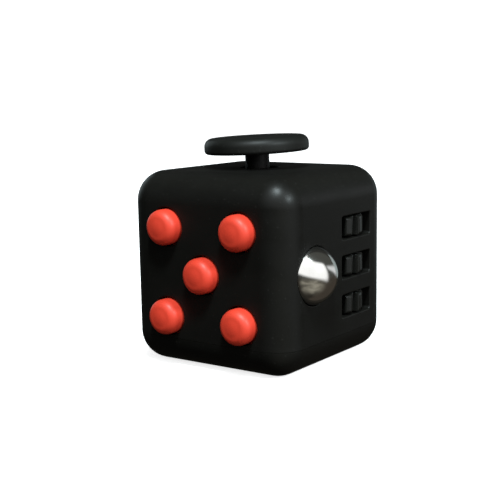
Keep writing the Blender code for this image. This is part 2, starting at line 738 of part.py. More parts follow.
def build_ball_carrier(face):
    """The tube that guides the ball's cup, flared round the ball and screwed to the wall by two ears."""
    outside = [
        (BALL_FLANGE_RADIUS, BALL_FLANGE_TOP),
        (BALL_FLANGE_RADIUS, BALL_FLANGE_BOTTOM),
        (BALL_CARRIER_OUTER, -6.0),
        (BALL_CARRIER_OUTER, BALL_CARRIER_BOTTOM),
        (0, BALL_CARRIER_BOTTOM),
    ]
    inside = [
        (0, 1),
        (BALL_HOLE_INNER, 1),
        (BALL_HOLE_INNER, BALL_FLANGE_TOP),
        (BALL_CARRIER_INNER, -6.6),
        (BALL_CARRIER_INNER, BALL_CARRIER_FLOOR),
        (0, BALL_CARRIER_FLOOR),
    ]
    at = (BALL_X, 0, 0)
    thickness = BALL_FLANGE_TOP - BALL_FLANGE_BOTTOM
    top = [(0, BALL_FLANGE_TOP)]
    carrier = turned("ball_carrier", top + outside, "inner_plastic", face, at, steps=24)
    for name, spot in BALL_EARS.items():
        root = (BALL_X, math.copysign(BALL_CARRIER_OUTER - 0.1, spot[1]))
        add_ear(carrier, f"ball_ear_{name}", face, spot, root, BALL_FLANGE_TOP, thickness)
    cut(carrier, turned("ball_carrier_inside", inside, None, face, at, steps=24))
    for name, spot in BALL_EARS.items():
        fasten(carrier, f"ball_carrier_screw_{name}", face, spot, BALL_FLANGE_TOP, thickness, -1.15)


# ---------------------------------------------------------------------------------- right: gear wheels


def gear_outline():
    """Blunt teeth on a round body, with the middle of a gap towards +x."""
    points = []
    pitch = 2 * math.pi / GEAR_TEETH
    for tooth in range(GEAR_TEETH):
        middle = (tooth + 0.5) * pitch
        for radius, share in ((GEAR_ROOT, -0.34), (GEAR_TIP - 0.25, -0.25), (GEAR_TIP, -0.15)):
            points.append((radius, middle + share * pitch))
        for radius, share in ((GEAR_TIP, 0.15), (GEAR_TIP - 0.25, 0.25), (GEAR_ROOT, 0.34)):
            points.append((radius, middle + share * pitch))
    return [(radius * math.cos(angle), radius * math.sin(angle)) for radius, angle in points]


def build_gears():
    face = FACES["right"]
    half = GEAR_WIDTH / 2
    for name, row in GEARS.items():
        outlines = [gear_outline(), circle((0, 0), AXLE_RADIUS + PLAY, 16)]
        at = (GEAR_X, row * GEAR_PITCH, GEAR_DEPTH)
        flat(f"gear_wheel_{name}", outlines, -half, half, "black_plastic", face, at, (-90, 0, 0))
    at = (GEAR_X, 0, GEAR_DEPTH)
    rod("gear_axle", AXLE_RADIUS, -AXLE_HALF, AXLE_HALF, "zinc_steel", face, at, ALONG_Y)
    build_gear_carrier(face)
    build_gear_detent(face)


def build_gear_carrier(face):
    """A block with a pocket for each wheel, bored along its length for the axle."""
    left, right, length = GEAR_X + CARRIER_LEFT, GEAR_X + CARRIER_RIGHT, CARRIER_HALF_LENGTH
    low, high = (left, -length, CARRIER_BOTTOM), (right, length, CARRIER_TOP)
    carrier = box("gear_carrier", low, high, "inner_plastic", face)
    root = (GEAR_X, length - 1)
    add_ear(carrier, "gear_ear", face, GEAR_EAR, root, CARRIER_TOP, GEAR_EAR_THICKNESS)
    for name, row in GEARS.items():
        low = (GEAR_X - POCKET_HALF_WIDTH, row * GEAR_PITCH - POCKET_HALF_HEIGHT, -BIG)
        high = (GEAR_X + POCKET_HALF_WIDTH, row * GEAR_PITCH + POCKET_HALF_HEIGHT, 1)
        cut(carrier, box(f"gear_pocket_{name}", low, high, None, face))
    low = (GEAR_X + POCKET_HALF_WIDTH - 1.2, -length + 0.6, -BIG)
    high = (GEAR_X + DETENT_X + 0.4, length - 0.6, GEAR_DEPTH + 1.5)
    cut(carrier, box("detent_slot", low, high, None, face))
    cut(carrier, bore("axle_bore", AXLE_RADIUS + PLAY, face, (GEAR_X, 0, GEAR_DEPTH), ALONG_Y))
    fasten(carrier, "gear_carrier_screw", face, GEAR_EAR, CARRIER_TOP, GEAR_EAR_THICKNESS, -1.05)


def build_gear_detent(face):
    """One strip of spring steel, with a bump that rests in a gap of each wheel."""
    half_length = CARRIER_HALF_LENGTH - 0.85
    path = [(0, -half_length)]
    for row in sorted(GEARS.values()):
        middle = row * GEAR_PITCH
        for offset, share in ((-1.5, 0), (-0.5, 0.85), (0, 1), (0.5, 0.85), (1.5, 0)):
            path.append((-share * DETENT_BUMP, middle + offset))
    path.append((0, half_length))
    low, high = GEAR_DEPTH - DETENT_HALF_WIDTH, GEAR_DEPTH + DETENT_HALF_WIDTH
    mesh = bpy.data.meshes.new("gear_detent_spring")
    shape = bmesh.new()
    lower = [shape.verts.new(mm((x, y, low))) for x, y in path]
    edges = [shape.edges.new(pair) for pair in zip(lower, lower[1:])]
    raised = bmesh.ops.extrude_edge_only(shape, edges=edges)["geom"]
    risen = [item for item in raised if isinstance(item, bmesh.types.BMVert)]
    bmesh.ops.translate(shape, vec=mm((0, 0, high - low)), verts=risen)
    shape.to_mesh(mesh)
    shape.free()
    strip = add("gear_detent_spring", mesh, "spring_steel", face, (GEAR_X + DETENT_X, 0, 0), (0, 0, 0))
    sheet = strip.modifiers.new("sheet", "SOLIDIFY")
    sheet.thickness = DETENT_SHEET * MM
    sheet.offset = 0


# ------------------------------------------------------------------------------- back: rocker switch


def build_rocker():
    face = FACES["back"]
    swung = empty("rocker_pivot", face, (0, 0, ROCKER_PIVOT), (ROCKER_SWING, 0, 0))
    outline = rocker_outline()
    half = ROCKER_WIDTH / 2
    rocker = flat("rocker", [outline], -half, half, "red_plastic", swung, turn=(90, 0, 90))
    round_edges(rocker, 0.3, 2)
    cut(rocker, bore("rocker_bore", ROCKER_PIN_RADIUS + PLAY, swung, turn=ALONG_X))
    reach = FRAME_HALF_WIDTH - 0.2
    rod("rocker_pin", ROCKER_PIN_RADIUS, -reach, reach, "zinc_steel", face, (0, 0, ROCKER_PIVOT), ALONG_X)
    build_rocker_frame(face)
    build_toggle_leaf(face)


def rocker_outline():
    """The rocker's side view: a shallow V on top, a belly, and the heel that works the toggle leaf."""
    surface = -ROCKER_PIVOT
    rise = 7.1 * math.tan(math.radians(ROCKER_SWING))
    right = [
        (7.1, surface + rise),
        (7.25, surface + rise - 1.2),
        (6.9, 1.3),
        (5.4, 0.4),
        (3.0, -0.9),
        (1.6, -1.6),
        (0.8, ROCKER_HEEL + 0.5),
        (0.28, ROCKER_HEEL),
    ]
    left = [(-y, z) for y, z in right]
    return [(0, surface + 0.05)] + left + right[::-1]


def build_rocker_frame(face):
    """A tray behind the rocker's window, whose cheeks carry the pin."""
    top = -WALL - GAP
    low = (-FRAME_HALF_WIDTH, -FRAME_HALF_HEIGHT, FRAME_BOTTOM)
    high = (FRAME_HALF_WIDTH, FRAME_HALF_HEIGHT, top)
    frame = box("rocker_frame", low, high, "inner_plastic", face)
    for name, spot in FRAME_EARS.items():
        root = (math.copysign(FRAME_HALF_WIDTH - 0.5, spot[0]), 0)
        add_ear(frame, f"frame_ear_{name}", face, spot, root, top, 1.0)
    low = (-FRAME_CAVITY_HALF_WIDTH, -FRAME_CAVITY_HALF_HEIGHT, FRAME_FLOOR)
    high = (FRAME_CAVITY_HALF_WIDTH, FRAME_CAVITY_HALF_HEIGHT, 1)
    cut(frame, box("frame_cavity", low, high, None, face))
    cut(frame, bore("frame_pin_hole", ROCKER_PIN_RADIUS + PLAY, face, (0, 0, ROCKER_PIVOT), ALONG_X))
    for name, spot in FRAME_EARS.items():
        fasten(frame, f"rocker_screw_{name}", face, spot, top, 1.0, -1.05)


def build_toggle_leaf(face):
    """A leaf spring on the frame's floor, with a ridge that the rocker's heel snaps over."""
    length = FRAME_CAVITY_HALF_HEIGHT - 0.5
    sheet = 0.2
    bottom = FRAME_FLOOR + 0.05
    ridge = 0.5
    top = [(length, bottom + sheet), (0.36, bottom + sheet), (0.1, bottom + sheet + ridge)]
    under = [(-length, bottom), (-0.3, bottom), (0, bottom + ridge - 0.1), (0.3, bottom), (length, bottom)]
    outline = top + [(-y, z) for y, z in reversed(top)] + under
    flat("toggle_leaf", [outline], -1.5, 1.5, "spring_steel", face, turn=(90, 0, 90))


# ------------------------------------------------------------------------------------------ left: dial


def build_dial():
    face = FACES["left"]
    edge = 0.9
    bottom = -DIAL_RECESS_DEPTH + 0.2
    hub_end = -3.2
    profile = [(0, DIAL_PROUD), (DIAL_RADIUS - edge, DIAL_PROUD)]
    profile += arc((DIAL_RADIUS - edge, DIAL_PROUD - edge), edge, 67.5, 0, 3)
    profile += [
        (DIAL_RADIUS, bottom),
        (DIAL_HUB, bottom),
        (DIAL_HUB, hub_end),
        (SCREW_PILOT, hub_end),
        (SCREW_PILOT, 0.2),
        (0, 0.2),
    ]
    dial = turned("dial", profile, "black_plastic", face, steps=36)
    ball = (DIAL_DIMPLE_RADIUS**2 + DIAL_DIMPLE_DEPTH**2) / (2 * DIAL_DIMPLE_DEPTH)
    lowest = (DIAL_DIMPLE_OFFSET, DIAL_PROUD - DIAL_DIMPLE_DEPTH)
    span = math.degrees(math.asin((DIAL_DIMPLE_RADIUS + 0.5) / ball))
    bowl = arc((0, lowest[1] + ball), ball, -90 + span, -90, 6)
    cut(dial, turned("dial_dimple", [(0, bowl[0][1])] + bowl, None, face, (0, lowest[0], 0), steps=24))
    bush = [
        (DIAL_HUB + 0.2, -0.75),
        (DIAL_BUSH, -0.75),
        (DIAL_BUSH, -WALL - GAP),
        (4.2, -WALL - GAP),
        (4.2, -3.0),
        (DIAL_HUB + 0.2, -3.0),
    ]
    turned("dial_bush", bush, "inner_plastic", face, ring=True)
    washer = [(0.85, -3.3), (4.0, -3.3), (4.0, -3.8), (0.85, -3.8)]
    turned("dial_washer", washer, "zinc_steel", face, ring=True)
    screw("dial_screw", -3.9, -0.1, face)


build_housing()
build_base_cover()
build_buttons()
build_click_module()
build_joystick()
build_ball()
build_gears()
build_rocker()
build_dial()
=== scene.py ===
"""Models a six-sided fidget cube in detail, piece by piece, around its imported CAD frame.

Lengths are in metres, in the frame's axes: +Z goes up through the joystick, -Y out of the push-button
side and +X out of the ball and gear side.
"""

import json
import math

import bmesh
import bpy
from bpy.props import FloatProperty, FloatVectorProperty, IntProperty, PointerProperty
from mathutils import Matrix, Vector


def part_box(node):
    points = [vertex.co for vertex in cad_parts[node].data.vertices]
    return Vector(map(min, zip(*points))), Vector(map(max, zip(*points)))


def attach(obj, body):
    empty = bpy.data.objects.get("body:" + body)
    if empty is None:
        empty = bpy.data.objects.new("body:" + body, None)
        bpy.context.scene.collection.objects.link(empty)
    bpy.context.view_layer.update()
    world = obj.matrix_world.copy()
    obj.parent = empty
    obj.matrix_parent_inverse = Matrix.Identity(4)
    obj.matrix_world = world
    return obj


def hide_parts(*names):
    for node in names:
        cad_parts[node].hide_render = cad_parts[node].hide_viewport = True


bl_info = {
    "name": "Fidget Cube",
    "version": (1, 0, 0),
    "blender": (4, 5, 0),
    "location": "3D View > Sidebar > Fidget Cube",
    "description": "Models a six-sided fidget cube around its CAD frame",
    "category": "Object",
}

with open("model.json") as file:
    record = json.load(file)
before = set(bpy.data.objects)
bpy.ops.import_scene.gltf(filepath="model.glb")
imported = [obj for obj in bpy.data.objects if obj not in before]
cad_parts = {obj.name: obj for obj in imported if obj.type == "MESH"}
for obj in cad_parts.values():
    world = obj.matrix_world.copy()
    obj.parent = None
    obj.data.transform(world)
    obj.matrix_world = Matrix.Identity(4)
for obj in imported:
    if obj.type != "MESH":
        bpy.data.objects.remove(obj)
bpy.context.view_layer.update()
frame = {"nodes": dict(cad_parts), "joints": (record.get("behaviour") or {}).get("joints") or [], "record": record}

MM = 0.001
CUBE_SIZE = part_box("housing")[1].z
HALF = CUBE_SIZE / 2
CENTRE = Vector((0, 0, HALF))
JOINTS = {joint["name"]: joint for joint in frame["joints"]}
BUTTON_NAMES = ("upper_left", "upper_right", "centre", "lower_left", "lower_right")
GEAR_NAMES = ("upper", "middle", "lower")
BEYOND = 0.6 * MM  # how far a cutter stands out of the wall that it cuts


def node_middle(node):
    """The middle of a CAD node's box."""
    low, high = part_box(node)
    return (low + high) / 2


def side(right, up):
    """A side of the cube as a placement: x to its right, y up it and z out of it, from its middle."""
    right, up = Vector(right), Vector(up)
    out = right.cross(up)
    turn = Matrix((right, up, out)).transposed()
    return Matrix.Translation(CENTRE + out * HALF) @ turn.to_4x4()


FRONT = side((1, 0, 0), (0, 0, 1))
RIGHT = side((0, 1, 0), (0, 0, 1))
BACK = side((-1, 0, 0), (0, 0, 1))
LEFT = side((0, -1, 0), (0, 0, 1))
TOP = side((1, 0, 0), (0, 1, 0))
BOTTOM = side((1, 0, 0), (0, -1, 0))


def moved(place, x=0.0, y=0.0, z=0.0):
    """The placement x, y and z further along its own axes."""
    return place @ Matrix.Translation((x, y, z))


def seen_from(place, point):
    """Where a point in the frame is in a placement's own x, y and z."""
    return place.inverted() @ Vector(point)


def over(place, point):
    """The placement moved along its side of the cube to where a point is."""
    at = seen_from(place, point)
    return moved(place, at.x, at.y)


# ---------- settings


def length(name, description, default):
    """A size that the user may change, in metres."""
    return FloatProperty(name=name, description=description, default=default, min=0, precision=5,
                         subtype="DISTANCE", unit="LENGTH")


def angle(name, description, degrees):
    return FloatProperty(name=name, description=description, default=math.radians(degrees),
                         subtype="ANGLE", unit="ROTATION")


def colour(name, description, default):
    return FloatVectorProperty(name=name, description=description, default=default, min=0, max=1, size=3,
                               subtype="COLOR")


def share(name, description, default):
    return FloatProperty(name=name, description=description, default=default, min=0, max=1,
                         subtype="FACTOR")


class CasingSettings(bpy.types.PropertyGroup):
    edge_radius: length("Edge radius", "Round on the cube's outside edges", 5.2 * MM)
    edge_segments: IntProperty(name="Edge segments", description="Facets across each round edge",
                               default=14, min=3)
    wall: length("Wall", "Thickness of the shell", 2.0 * MM)
    seam_height: length("Seam height", "Height of the joint between shell and base", 5.0 * MM)
    seam_gap: length("Seam gap", "Opening between shell and base", 0.05 * MM)
    rim_round: length("Rim round", "Round on the rim of each opening", 0.22 * MM)
    stick_hole: length("Joystick hole", "Radius of the joystick's hole at the surface", 3.5 * MM)
    button_hole: length("Button hole", "Radius of each button's hole", 3.3 * MM)
    ball_hole: length("Ball hole", "Radius of the ball's hole at the surface", 4.9 * MM)
    window_width: length("Gear window width", "Width of each gear window", 9.5 * MM)
    window_height: length("Gear window height", "Height of each gear window", 3.9 * MM)
    rocker_width: length("Rocker window width", "Width of the rocker's window", 8.8 * MM)
    rocker_height: length("Rocker window height", "Height of the rocker's window", 15.8 * MM)
    dial_recess: length("Dial recess", "Radius of the shallow recess around the dial", 9.65 * MM)
    thumb_radius: length("Thumb dimple radius", "Radius of the dimple underneath", 9.5 * MM)
    thumb_depth: length("Thumb dimple depth", "Depth of the dimple underneath", 2.1 * MM)
    tint: colour("Colour", "Colour of the casing's plastic", (0.0042, 0.004, 0.0034))
    roughness: share("Roughness", "Roughness of the casing's plastic", 0.44)


class ButtonSettings(bpy.types.PropertyGroup):
    radius: length("Radius", "Radius of each button cap", 3.0 * MM)
    shoulder: length("Shoulder", "Round between a cap's top and its side", 1.5 * MM)
    proud: length("Height", "How far a button stands out", -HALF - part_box("button_centre")[0].y)
    flange: length("Flange", "Radius of the flange behind the wall", 3.7 * MM)
    tint: colour("Colour", "Colour of the buttons and the rocker", (0.55, 0.036, 0.018))
    roughness: share("Roughness", "Roughness of the buttons' plastic", 0.5)


class JoystickSettings(bpy.types.PropertyGroup):
    pad_radius: length("Pad radius", "Radius of the thumb pad", 9.1 * MM)
    pad_top: length("Pad top", "Height of the pad's top above the casing", 5.35 * MM)
    pad_under: length("Pad underside", "Height of the pad's underside above the casing", 2.65 * MM)
    pad_edge: length("Pad edge", "Round on the pad's upper edge", 1.4 * MM)
    pad_lower_edge: length("Pad lower edge", "Round on the pad's lower edge", 0.6 * MM)
    stem_radius: length("Stem radius", "Radius of the sleeve under the pad", 2.1 * MM)
    dome_radius: length("Dome radius", "Radius of the dome that fills the hole", 5.0 * MM)
    lean: angle("Lean", "How far the joystick leans at rest", 2.2)
    lean_towards: angle("Lean towards", "The way the joystick leans, from +X", 214.8)
    tint: colour("Colour", "Colour of the pad's rubber", (0.0042, 0.0042, 0.0036))


class BallSettings(bpy.types.PropertyGroup):
    radius: length("Radius", "Radius of the steel ball", 5.0 * MM)
    tint: colour("Colour", "Colour of the polished steel", (0.74, 0.73, 0.7))


class GearSettings(bpy.types.PropertyGroup):
    teeth: IntProperty(name="Teeth", description="Teeth on each wheel", default=11, min=6)
    tip: length("Tip radius", "Radius over the teeth", 5.5 * MM)
    root: length("Root radius", "Radius between the teeth", 4.4 * MM)
    width: length("Width", "Width of each wheel along the axle", 3.3 * MM)
    bore: length("Bore", "Radius of the hole for the axle", 0.85 * MM)
    end_round: length("End round", "Round on both ends of each tooth", 0.55 * MM)
    tint: colour("Colour", "Colour of the wheels' plastic", (0.0048, 0.0048, 0.0042))


class RockerSettings(bpy.types.PropertyGroup):
    width: length("Width", "Width of the rocker key", 8.2 * MM)
    swing: angle("Swing", "Angle between level and either end stop", 9.0)
    edge: length("Edge", "Round on the rocker's edges", 0.35 * MM)
    bore: length("Bore", "Radius of the hole for the pin", 0.7 * MM)


class DialSettings(bpy.types.PropertyGroup):
    radius: length("Radius", "Radius of the dial", 9.3 * MM)
    proud: length("Height", "How far the dial stands out", 3.0 * MM)
    edge: length("Edge", "Round on the dial's rim", 0.9 * MM)
    dimple_radius: length("Dimple radius", "Radius of the finger dimple", 3.2 * MM)
    dimple_depth: length("Dimple depth", "Depth of the finger dimple", 1.0 * MM)
    dimple_offset: length("Dimple offset", "Distance of the dimple from the dial's middle", 4.9 * MM)


class StageSettings(bpy.types.PropertyGroup):
    azimuth: angle("Azimuth", "Camera's angle round the cube, from the button side", 35.216)
    elevation: angle("Elevation", "Camera's angle above level", 9.561)
    roll: angle("Roll", "Camera's turn about its own view", -0.86)
    distance: length("Distance", "From the cube's middle to the camera", 182.524 * MM)
    lens: FloatProperty(name="Lens", description="Focal length in millimetres", default=74.275, min=1)
    shift_x: FloatProperty(name="Shift X", description="Sideways shift of the view", default=-0.0204)
    shift_y: FloatProperty(name="Shift Y", description="Upward shift of the view", default=0.0206)


class FidgetCubeSettings(bpy.types.PropertyGroup):
    casing: PointerProperty(type=CasingSettings, name="Casing", description="Shell and base")
    buttons: PointerProperty(type=ButtonSettings, name="Buttons", description="Five push buttons")
    joystick: PointerProperty(type=JoystickSettings, name="Joystick", description="Thumb pad and stick")
    ball: PointerProperty(type=BallSettings, name="Ball", description="Rolling steel ball")
    gears: PointerProperty(type=GearSettings, name="Gears", description="Three gear wheels")
    rocker: PointerProperty(type=RockerSettings, name="Rocker", description="Rocker switch")
    dial: PointerProperty(type=DialSettings, name="Dial", description="Spinning dial")
    stage: PointerProperty(type=StageSettings, name="Stage", description="Floor, light and camera")


# ---------- modelling tools


def start(name, add, **where):
    """Adds a primitive at its size and place, and opens it in edit mode with all of it selected."""
    if bpy.context.mode != "OBJECT":
        bpy.ops.object.mode_set(mode="OBJECT")
    bpy.ops.object.select_all(action="DESELECT")
    add(**where)
    piece = bpy.context.object
    piece.name = piece.data.name = name
    bpy.ops.object.transform_apply(location=True, rotation=True, scale=True)
    bpy.ops.object.mode_set(mode="EDIT")
    bpy.ops.mesh.select_all(action="SELECT")
    return piece


def pick_faces(piece, wanted):
    """Selects the faces of the piece in edit mode for which wanted(middle, normal) is true."""
    bpy.ops.mesh.select_mode(type="FACE")
    bpy.ops.mesh.select_all(action="DESELECT")
    shape = bmesh.from_edit_mesh(piece.data)
    for face in shape.faces:
        face.select_set(wanted(face.calc_center_median(), face.normal))
    bmesh.update_edit_mesh(piece.data)


def push(direction):
    """Extrudes what is selected by a vector."""
    bpy.ops.mesh.extrude_region_move(TRANSFORM_OT_translate={"value": direction})


def lay_line(name, points):
    """Lays a chain of edges through points, one vertex pulled out of the last, and leaves it selected."""
    piece = start(name, bpy.ops.mesh.primitive_plane_add, size=MM, location=points[0])
    bpy.ops.mesh.select_mode(type="VERT")
    bpy.ops.mesh.merge(type="CENTER")
    for near, far in zip(points, points[1:]):
        bpy.ops.mesh.extrude_vertices_move(TRANSFORM_OT_translate={"value": far - near})
    bpy.ops.mesh.select_all(action="SELECT")
    return piece


def clean_up():
    """Merges doubled vertices, turns every face outwards and leaves edit mode."""
    bpy.ops.mesh.select_all(action="SELECT")
    bpy.ops.mesh.remove_doubles(threshold=0.0005 * MM)
    bpy.ops.mesh.normals_make_consistent(inside=False)
    bpy.ops.object.mode_set(mode="OBJECT")


def turned(name, place, profile, steps=96):
    """Spins a profile of (distance from the axis, height) about the placement's z axis."""
    piece = lay_line(name, [place @ Vector((out, 0, height)) for out, height in profile])
    axis = place.to_3x3().col[2]
    bpy.ops.mesh.spin(steps=steps, angle=math.tau, center=place.translation, axis=axis)
    clean_up()
    return piece


def slab(name, place, outline, bottom, top):
    """Fills a closed outline of (x, y) at height bottom and extrudes it to height top."""
    piece = lay_line(name, [place @ Vector((x, y, bottom)) for x, y in outline])
    bpy.ops.mesh.edge_face_add()
    push(place.to_3x3() @ Vector((0, 0, top - bottom)))
    clean_up()
    return piece


def choose(piece):
    """Selects one piece and nothing else."""
    bpy.ops.object.select_all(action="DESELECT")
    piece.select_set(True)
    bpy.context.view_layer.objects.active = piece


def use_modifier(piece, kind, **settings):
    """Adds a modifier to a piece and applies it."""
    choose(piece)
    modifier = piece.modifiers.new(kind.title(), kind)
    for name, value in settings.items():
        setattr(modifier, name, value)
    bpy.ops.object.modifier_apply(modifier=modifier.name)


def cut(piece, *cutters):
    """Takes each cutter's shape out of the piece."""
    for cutter in cutters:
        use_modifier(piece, "BOOLEAN", operation="DIFFERENCE", solver="EXACT", object=cutter)
        bpy.data.meshes.remove(cutter.data)


def duplicate(piece, name, offset):
    """Copies a piece with its own mesh, moved by offset."""
    choose(piece)
    bpy.ops.object.duplicate(linked=False)
    copy = bpy.context.object
    copy.name = copy.data.name = name
    bpy.ops.transform.translate(value=offset)
    bpy.ops.object.transform_apply(location=True, rotation=True, scale=True)
    return copy


def smooth(piece, degrees=32):
    """Shades the piece smooth, except over edges sharper than the angle, and evens flat faces out."""
    choose(piece)
    bpy.ops.object.shade_smooth_by_angle(angle=math.radians(degrees))
    use_modifier(piece, "WEIGHTED_NORMAL", keep_sharp=True, weight=80)


def hand_over(piece, body, slot, finish, *nodes):
    """Finishes a piece: its material, the body that it moves with and the CAD nodes that it stands for."""
    piece.data.materials.clear()
    piece.data.materials.append(finish)
    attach(piece, body)
    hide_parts(*nodes)


def arc(centre, radius, first, last, steps):
    """Points along an arc in a profile, with angles in degrees from straight out."""
    turns = [math.radians(first + (last - first) * i / steps) for i in range(steps + 1)]
    return [(centre[0] + radius * math.cos(turn), centre[1] + radius * math.sin(turn)) for turn in turns]


def flare(rim, steps=4):
    """How far a hole widens, and at what depth, as its wall rounds over into the surface."""
    turns = [math.pi / 2 * i / steps for i in range(steps + 1)]
    return [(rim * (1 - math.cos(turn)), rim * (math.sin(turn) - 1)) for turn in turns]


def round_cutter(name, place, outer, inner, depth, rim):
    """A cutter for a round hole whose wall goes from radius outer at the surface to inner at the depth."""
    slope = (inner - outer) / depth
    profile = [(0, -depth - BEYOND), (inner + slope * BEYOND, -depth - BEYOND)]
    profile += [(outer + wider - slope * height, height) for wider, height in flare(rim)]
    profile += [(outer + rim, BEYOND), (0, BEYOND)]
    return turned(name, place, profile)


def bore_cutter(name, place, radius, half):
    """A cutter for a plain bore along the placement's z axis, through a piece that reaches half each way."""
    end = half + BEYOND
    return turned(name, place, [(0, -end), (radius, -end), (radius, end), (0, end)], 48)


def window_cutter(name, place, width, height, corner, depth, rim):
    """A cutter for a window with rounded corners, which widens at the surface to round its rim."""
    turn = place.to_3x3()
    middle = place @ Vector((0, 0, -depth - BEYOND))
    cutter = start(name, bpy.ops.mesh.primitive_plane_add, size=1, location=middle,
                   rotation=place.to_euler())

    def widen(across, up, level):
        factors = turn @ Vector((across, up, 1))
        centre = place @ Vector((0, 0, level))
        bpy.ops.transform.resize(value=[abs(factor) for factor in factors], center_override=centre)

    widen(width, height, -depth - BEYOND)
    bpy.ops.mesh.select_mode(type="VERT")
    bpy.ops.mesh.select_all(action="SELECT")
    bpy.ops.mesh.bevel(offset=corner, segments=6, affect="VERTICES")
    bpy.ops.mesh.select_mode(type="FACE")
    bpy.ops.mesh.select_all(action="SELECT")
    level, across, up = -depth - BEYOND, width, height
    for wider, next_level in flare(rim) + [(rim, BEYOND)]:
        push(turn @ Vector((0, 0, next_level - level)))
        widen((width + 2 * wider) / across, (height + 2 * wider) / up, next_level)
        level, across, up = next_level, width + 2 * wider, height + 2 * wider
    clean_up()
    return cutter


# ---------- shader tools


class Wire:
    """A socket of a node tree, which can be added, multiplied and so on: each such step is a Math node."""

    def __init__(self, sheet, socket):
        self.sheet, self.socket = sheet, socket

    def __add__(self, other):
        return self.sheet.maths("ADD", self, other)

    def __sub__(self, other):
        return self.sheet.maths("SUBTRACT", self, other)

    def __rsub__(self, other):
        return self.sheet.maths("SUBTRACT", other, self)

    def __mul__(self, other):
        return self.sheet.maths("MULTIPLY", self, other)

    __radd__, __rmul__ = __add__, __mul__


class Sheet:
    """A node tree that is being wired."""

    def __init__(self, tree):
        self.tree = tree

    def node(self, kind, settings=None, sockets=None, output=0):
        """Adds a node, sets it up, then fills or links its sockets, and returns one of its outputs."""
        made = self.tree.nodes.new("ShaderNode" + kind)
        for name, value in (settings or {}).items():
            setattr(made, name, value)
        self.fill(made, sockets or {})
        return Wire(self, made.outputs[output])

    def fill(self, node, sockets):
        """Links wires to a node's sockets, and sets the sockets that get a plain value."""
        for name, value in sockets.items():
            if isinstance(value, Wire):
                self.tree.links.new(value.socket, node.inputs[name])
            else:
                node.inputs[name].default_value = value

    def maths(self, operation, *values):
        return self.node("Math", {"operation": operation}, dict(enumerate(values)))

    def fade(self, value, low, high, start=0.0, end=1.0):
        """Goes smoothly from start, where value is low, to end, where it is high."""
        steps = {"interpolation_type": "SMOOTHSTEP"}
        return self.node("MapRange", steps, {0: value, 1: low, 2: high, 3: start, 4: end})

    def blend(self, factor, first, second):
        """The first colour where the factor is 0, the second where it is 1."""
        return self.node("Mix", {"data_type": "RGBA"}, {0: factor, 6: first, 7: second}, output=2)

    def noise(self, vector, scale, detail, roughness=0.5):
        sockets = {"Vector": vector, "Scale": scale, "Detail": detail, "Roughness": roughness}
        return self.node("TexNoise", None, sockets)

    def parts(self, vector):
        """The x, y and z of a vector, as three wires."""
        first = self.node("SeparateXYZ", None, {0: vector})
        return [Wire(self, first.socket.node.outputs[i]) for i in range(3)]


class Finish(Sheet):
    """A material in the making, with patterns in object coordinates."""

    def __init__(self, name, **constants):
        self.material = bpy.data.materials.new(name)
        self.material.use_nodes = True
        super().__init__(self.material.node_tree)
        self.shader = self.tree.nodes["Principled BSDF"]
        self.done(**constants)
        self.where = self.node("TexCoord", output="Object")

    def centred(self, point, scale=(1, 1, 1)):
        """Object coordinates counted from a point, stretched by scale."""
        offset = [-a * b for a, b in zip(point, scale)]
        return self.node("Mapping", None, {"Vector": self.where, "Location": offset, "Scale": scale})

    def radius_from(self, point, axis):
        """Distance from a line through point along a frame axis: 0, 1 or 2."""
        squares = [part * part for i, part in enumerate(self.parts(self.centred(point))) if i != axis]
        return self.maths("SQRT", squares[0] + squares[1])

    def bump(self, height, distance, strength, under=None):
        sockets = {"Height": height, "Distance": distance, "Strength": strength}
        if under is not None:
            sockets["Normal"] = under
        return self.node("Bump", None, sockets)

    def done(self, **links):
        """Fills the shader's sockets, which are named with _ for each space."""
        self.fill(self.shader, {name.replace("_", " "): value for name, value in links.items()})
        return self.material


def shade(tint, factor):
    """A colour made darker or lighter, as a socket value."""
    return (*[min(1.0, part * factor) for part in tint], 1.0)


def moulded_plastic(name, tint, roughness, grain=0.012 * MM, worn=None, dust=0.0, specular=0.22):
    """Spark-finished moulded plastic: fine grain, handling marks, a little dust and polish where worn."""
    finish = Finish(name, IOR=1.46, Specular_IOR_Level=specular)
    grains = finish.noise(finish.where, 5200, 3, 0.6)
    mottle = finish.noise(finish.where, 70, 3)
    smears = finish.fade(finish.noise(finish.centred((0.013, 0.02, 0.007), (1, 0.6, 1.7)), 190, 5, 0.6),
                         0.42, 0.68)
    specks = finish.fade(finish.noise(finish.where, 2600, 1, 0.4), 0.71, 0.76)
    body = finish.blend(mottle, shade(tint, 0.82), shade(tint, 1.2))
    gloss = roughness + 0.08 * (mottle - 0.5) - 0.07 * smears + 0.05 * (grains - 0.5)
    if worn is not None:
        rub = worn(finish) * finish.fade(finish.noise(finish.where, 420, 4, 0.65), 0.3, 0.7, 0.35, 1.0)
        body = finish.blend(rub, body, shade(tint, 1.55))
        gloss = gloss - 0.12 * rub
    if dust:
        body = finish.blend(specks * dust, body, (0.35, 0.34, 0.32, 1.0))
    ripple = finish.bump(mottle, 0.02 * MM, 0.5)
    return finish.done(Base_Color=body, Roughness=gloss, Normal=finish.bump(grains, grain, 0.8, ripple))


def worn_casing_edges(finish):
    """One along the cube's round edges, where hands rub it, and none on its flats."""
    reach = [finish.maths("ABSOLUTE", part) for part in finish.parts(finish.centred(CENTRE))]
    pairs = [finish.maths("MINIMUM", reach[i], reach[j]) for i, j in ((0, 1), (1, 2), (0, 2))]
    edge = finish.maths("MAXIMUM", finish.maths("MAXIMUM", pairs[0], pairs[1]), pairs[2])
    return finish.fade(edge, 12.6 * MM, 15.2 * MM)


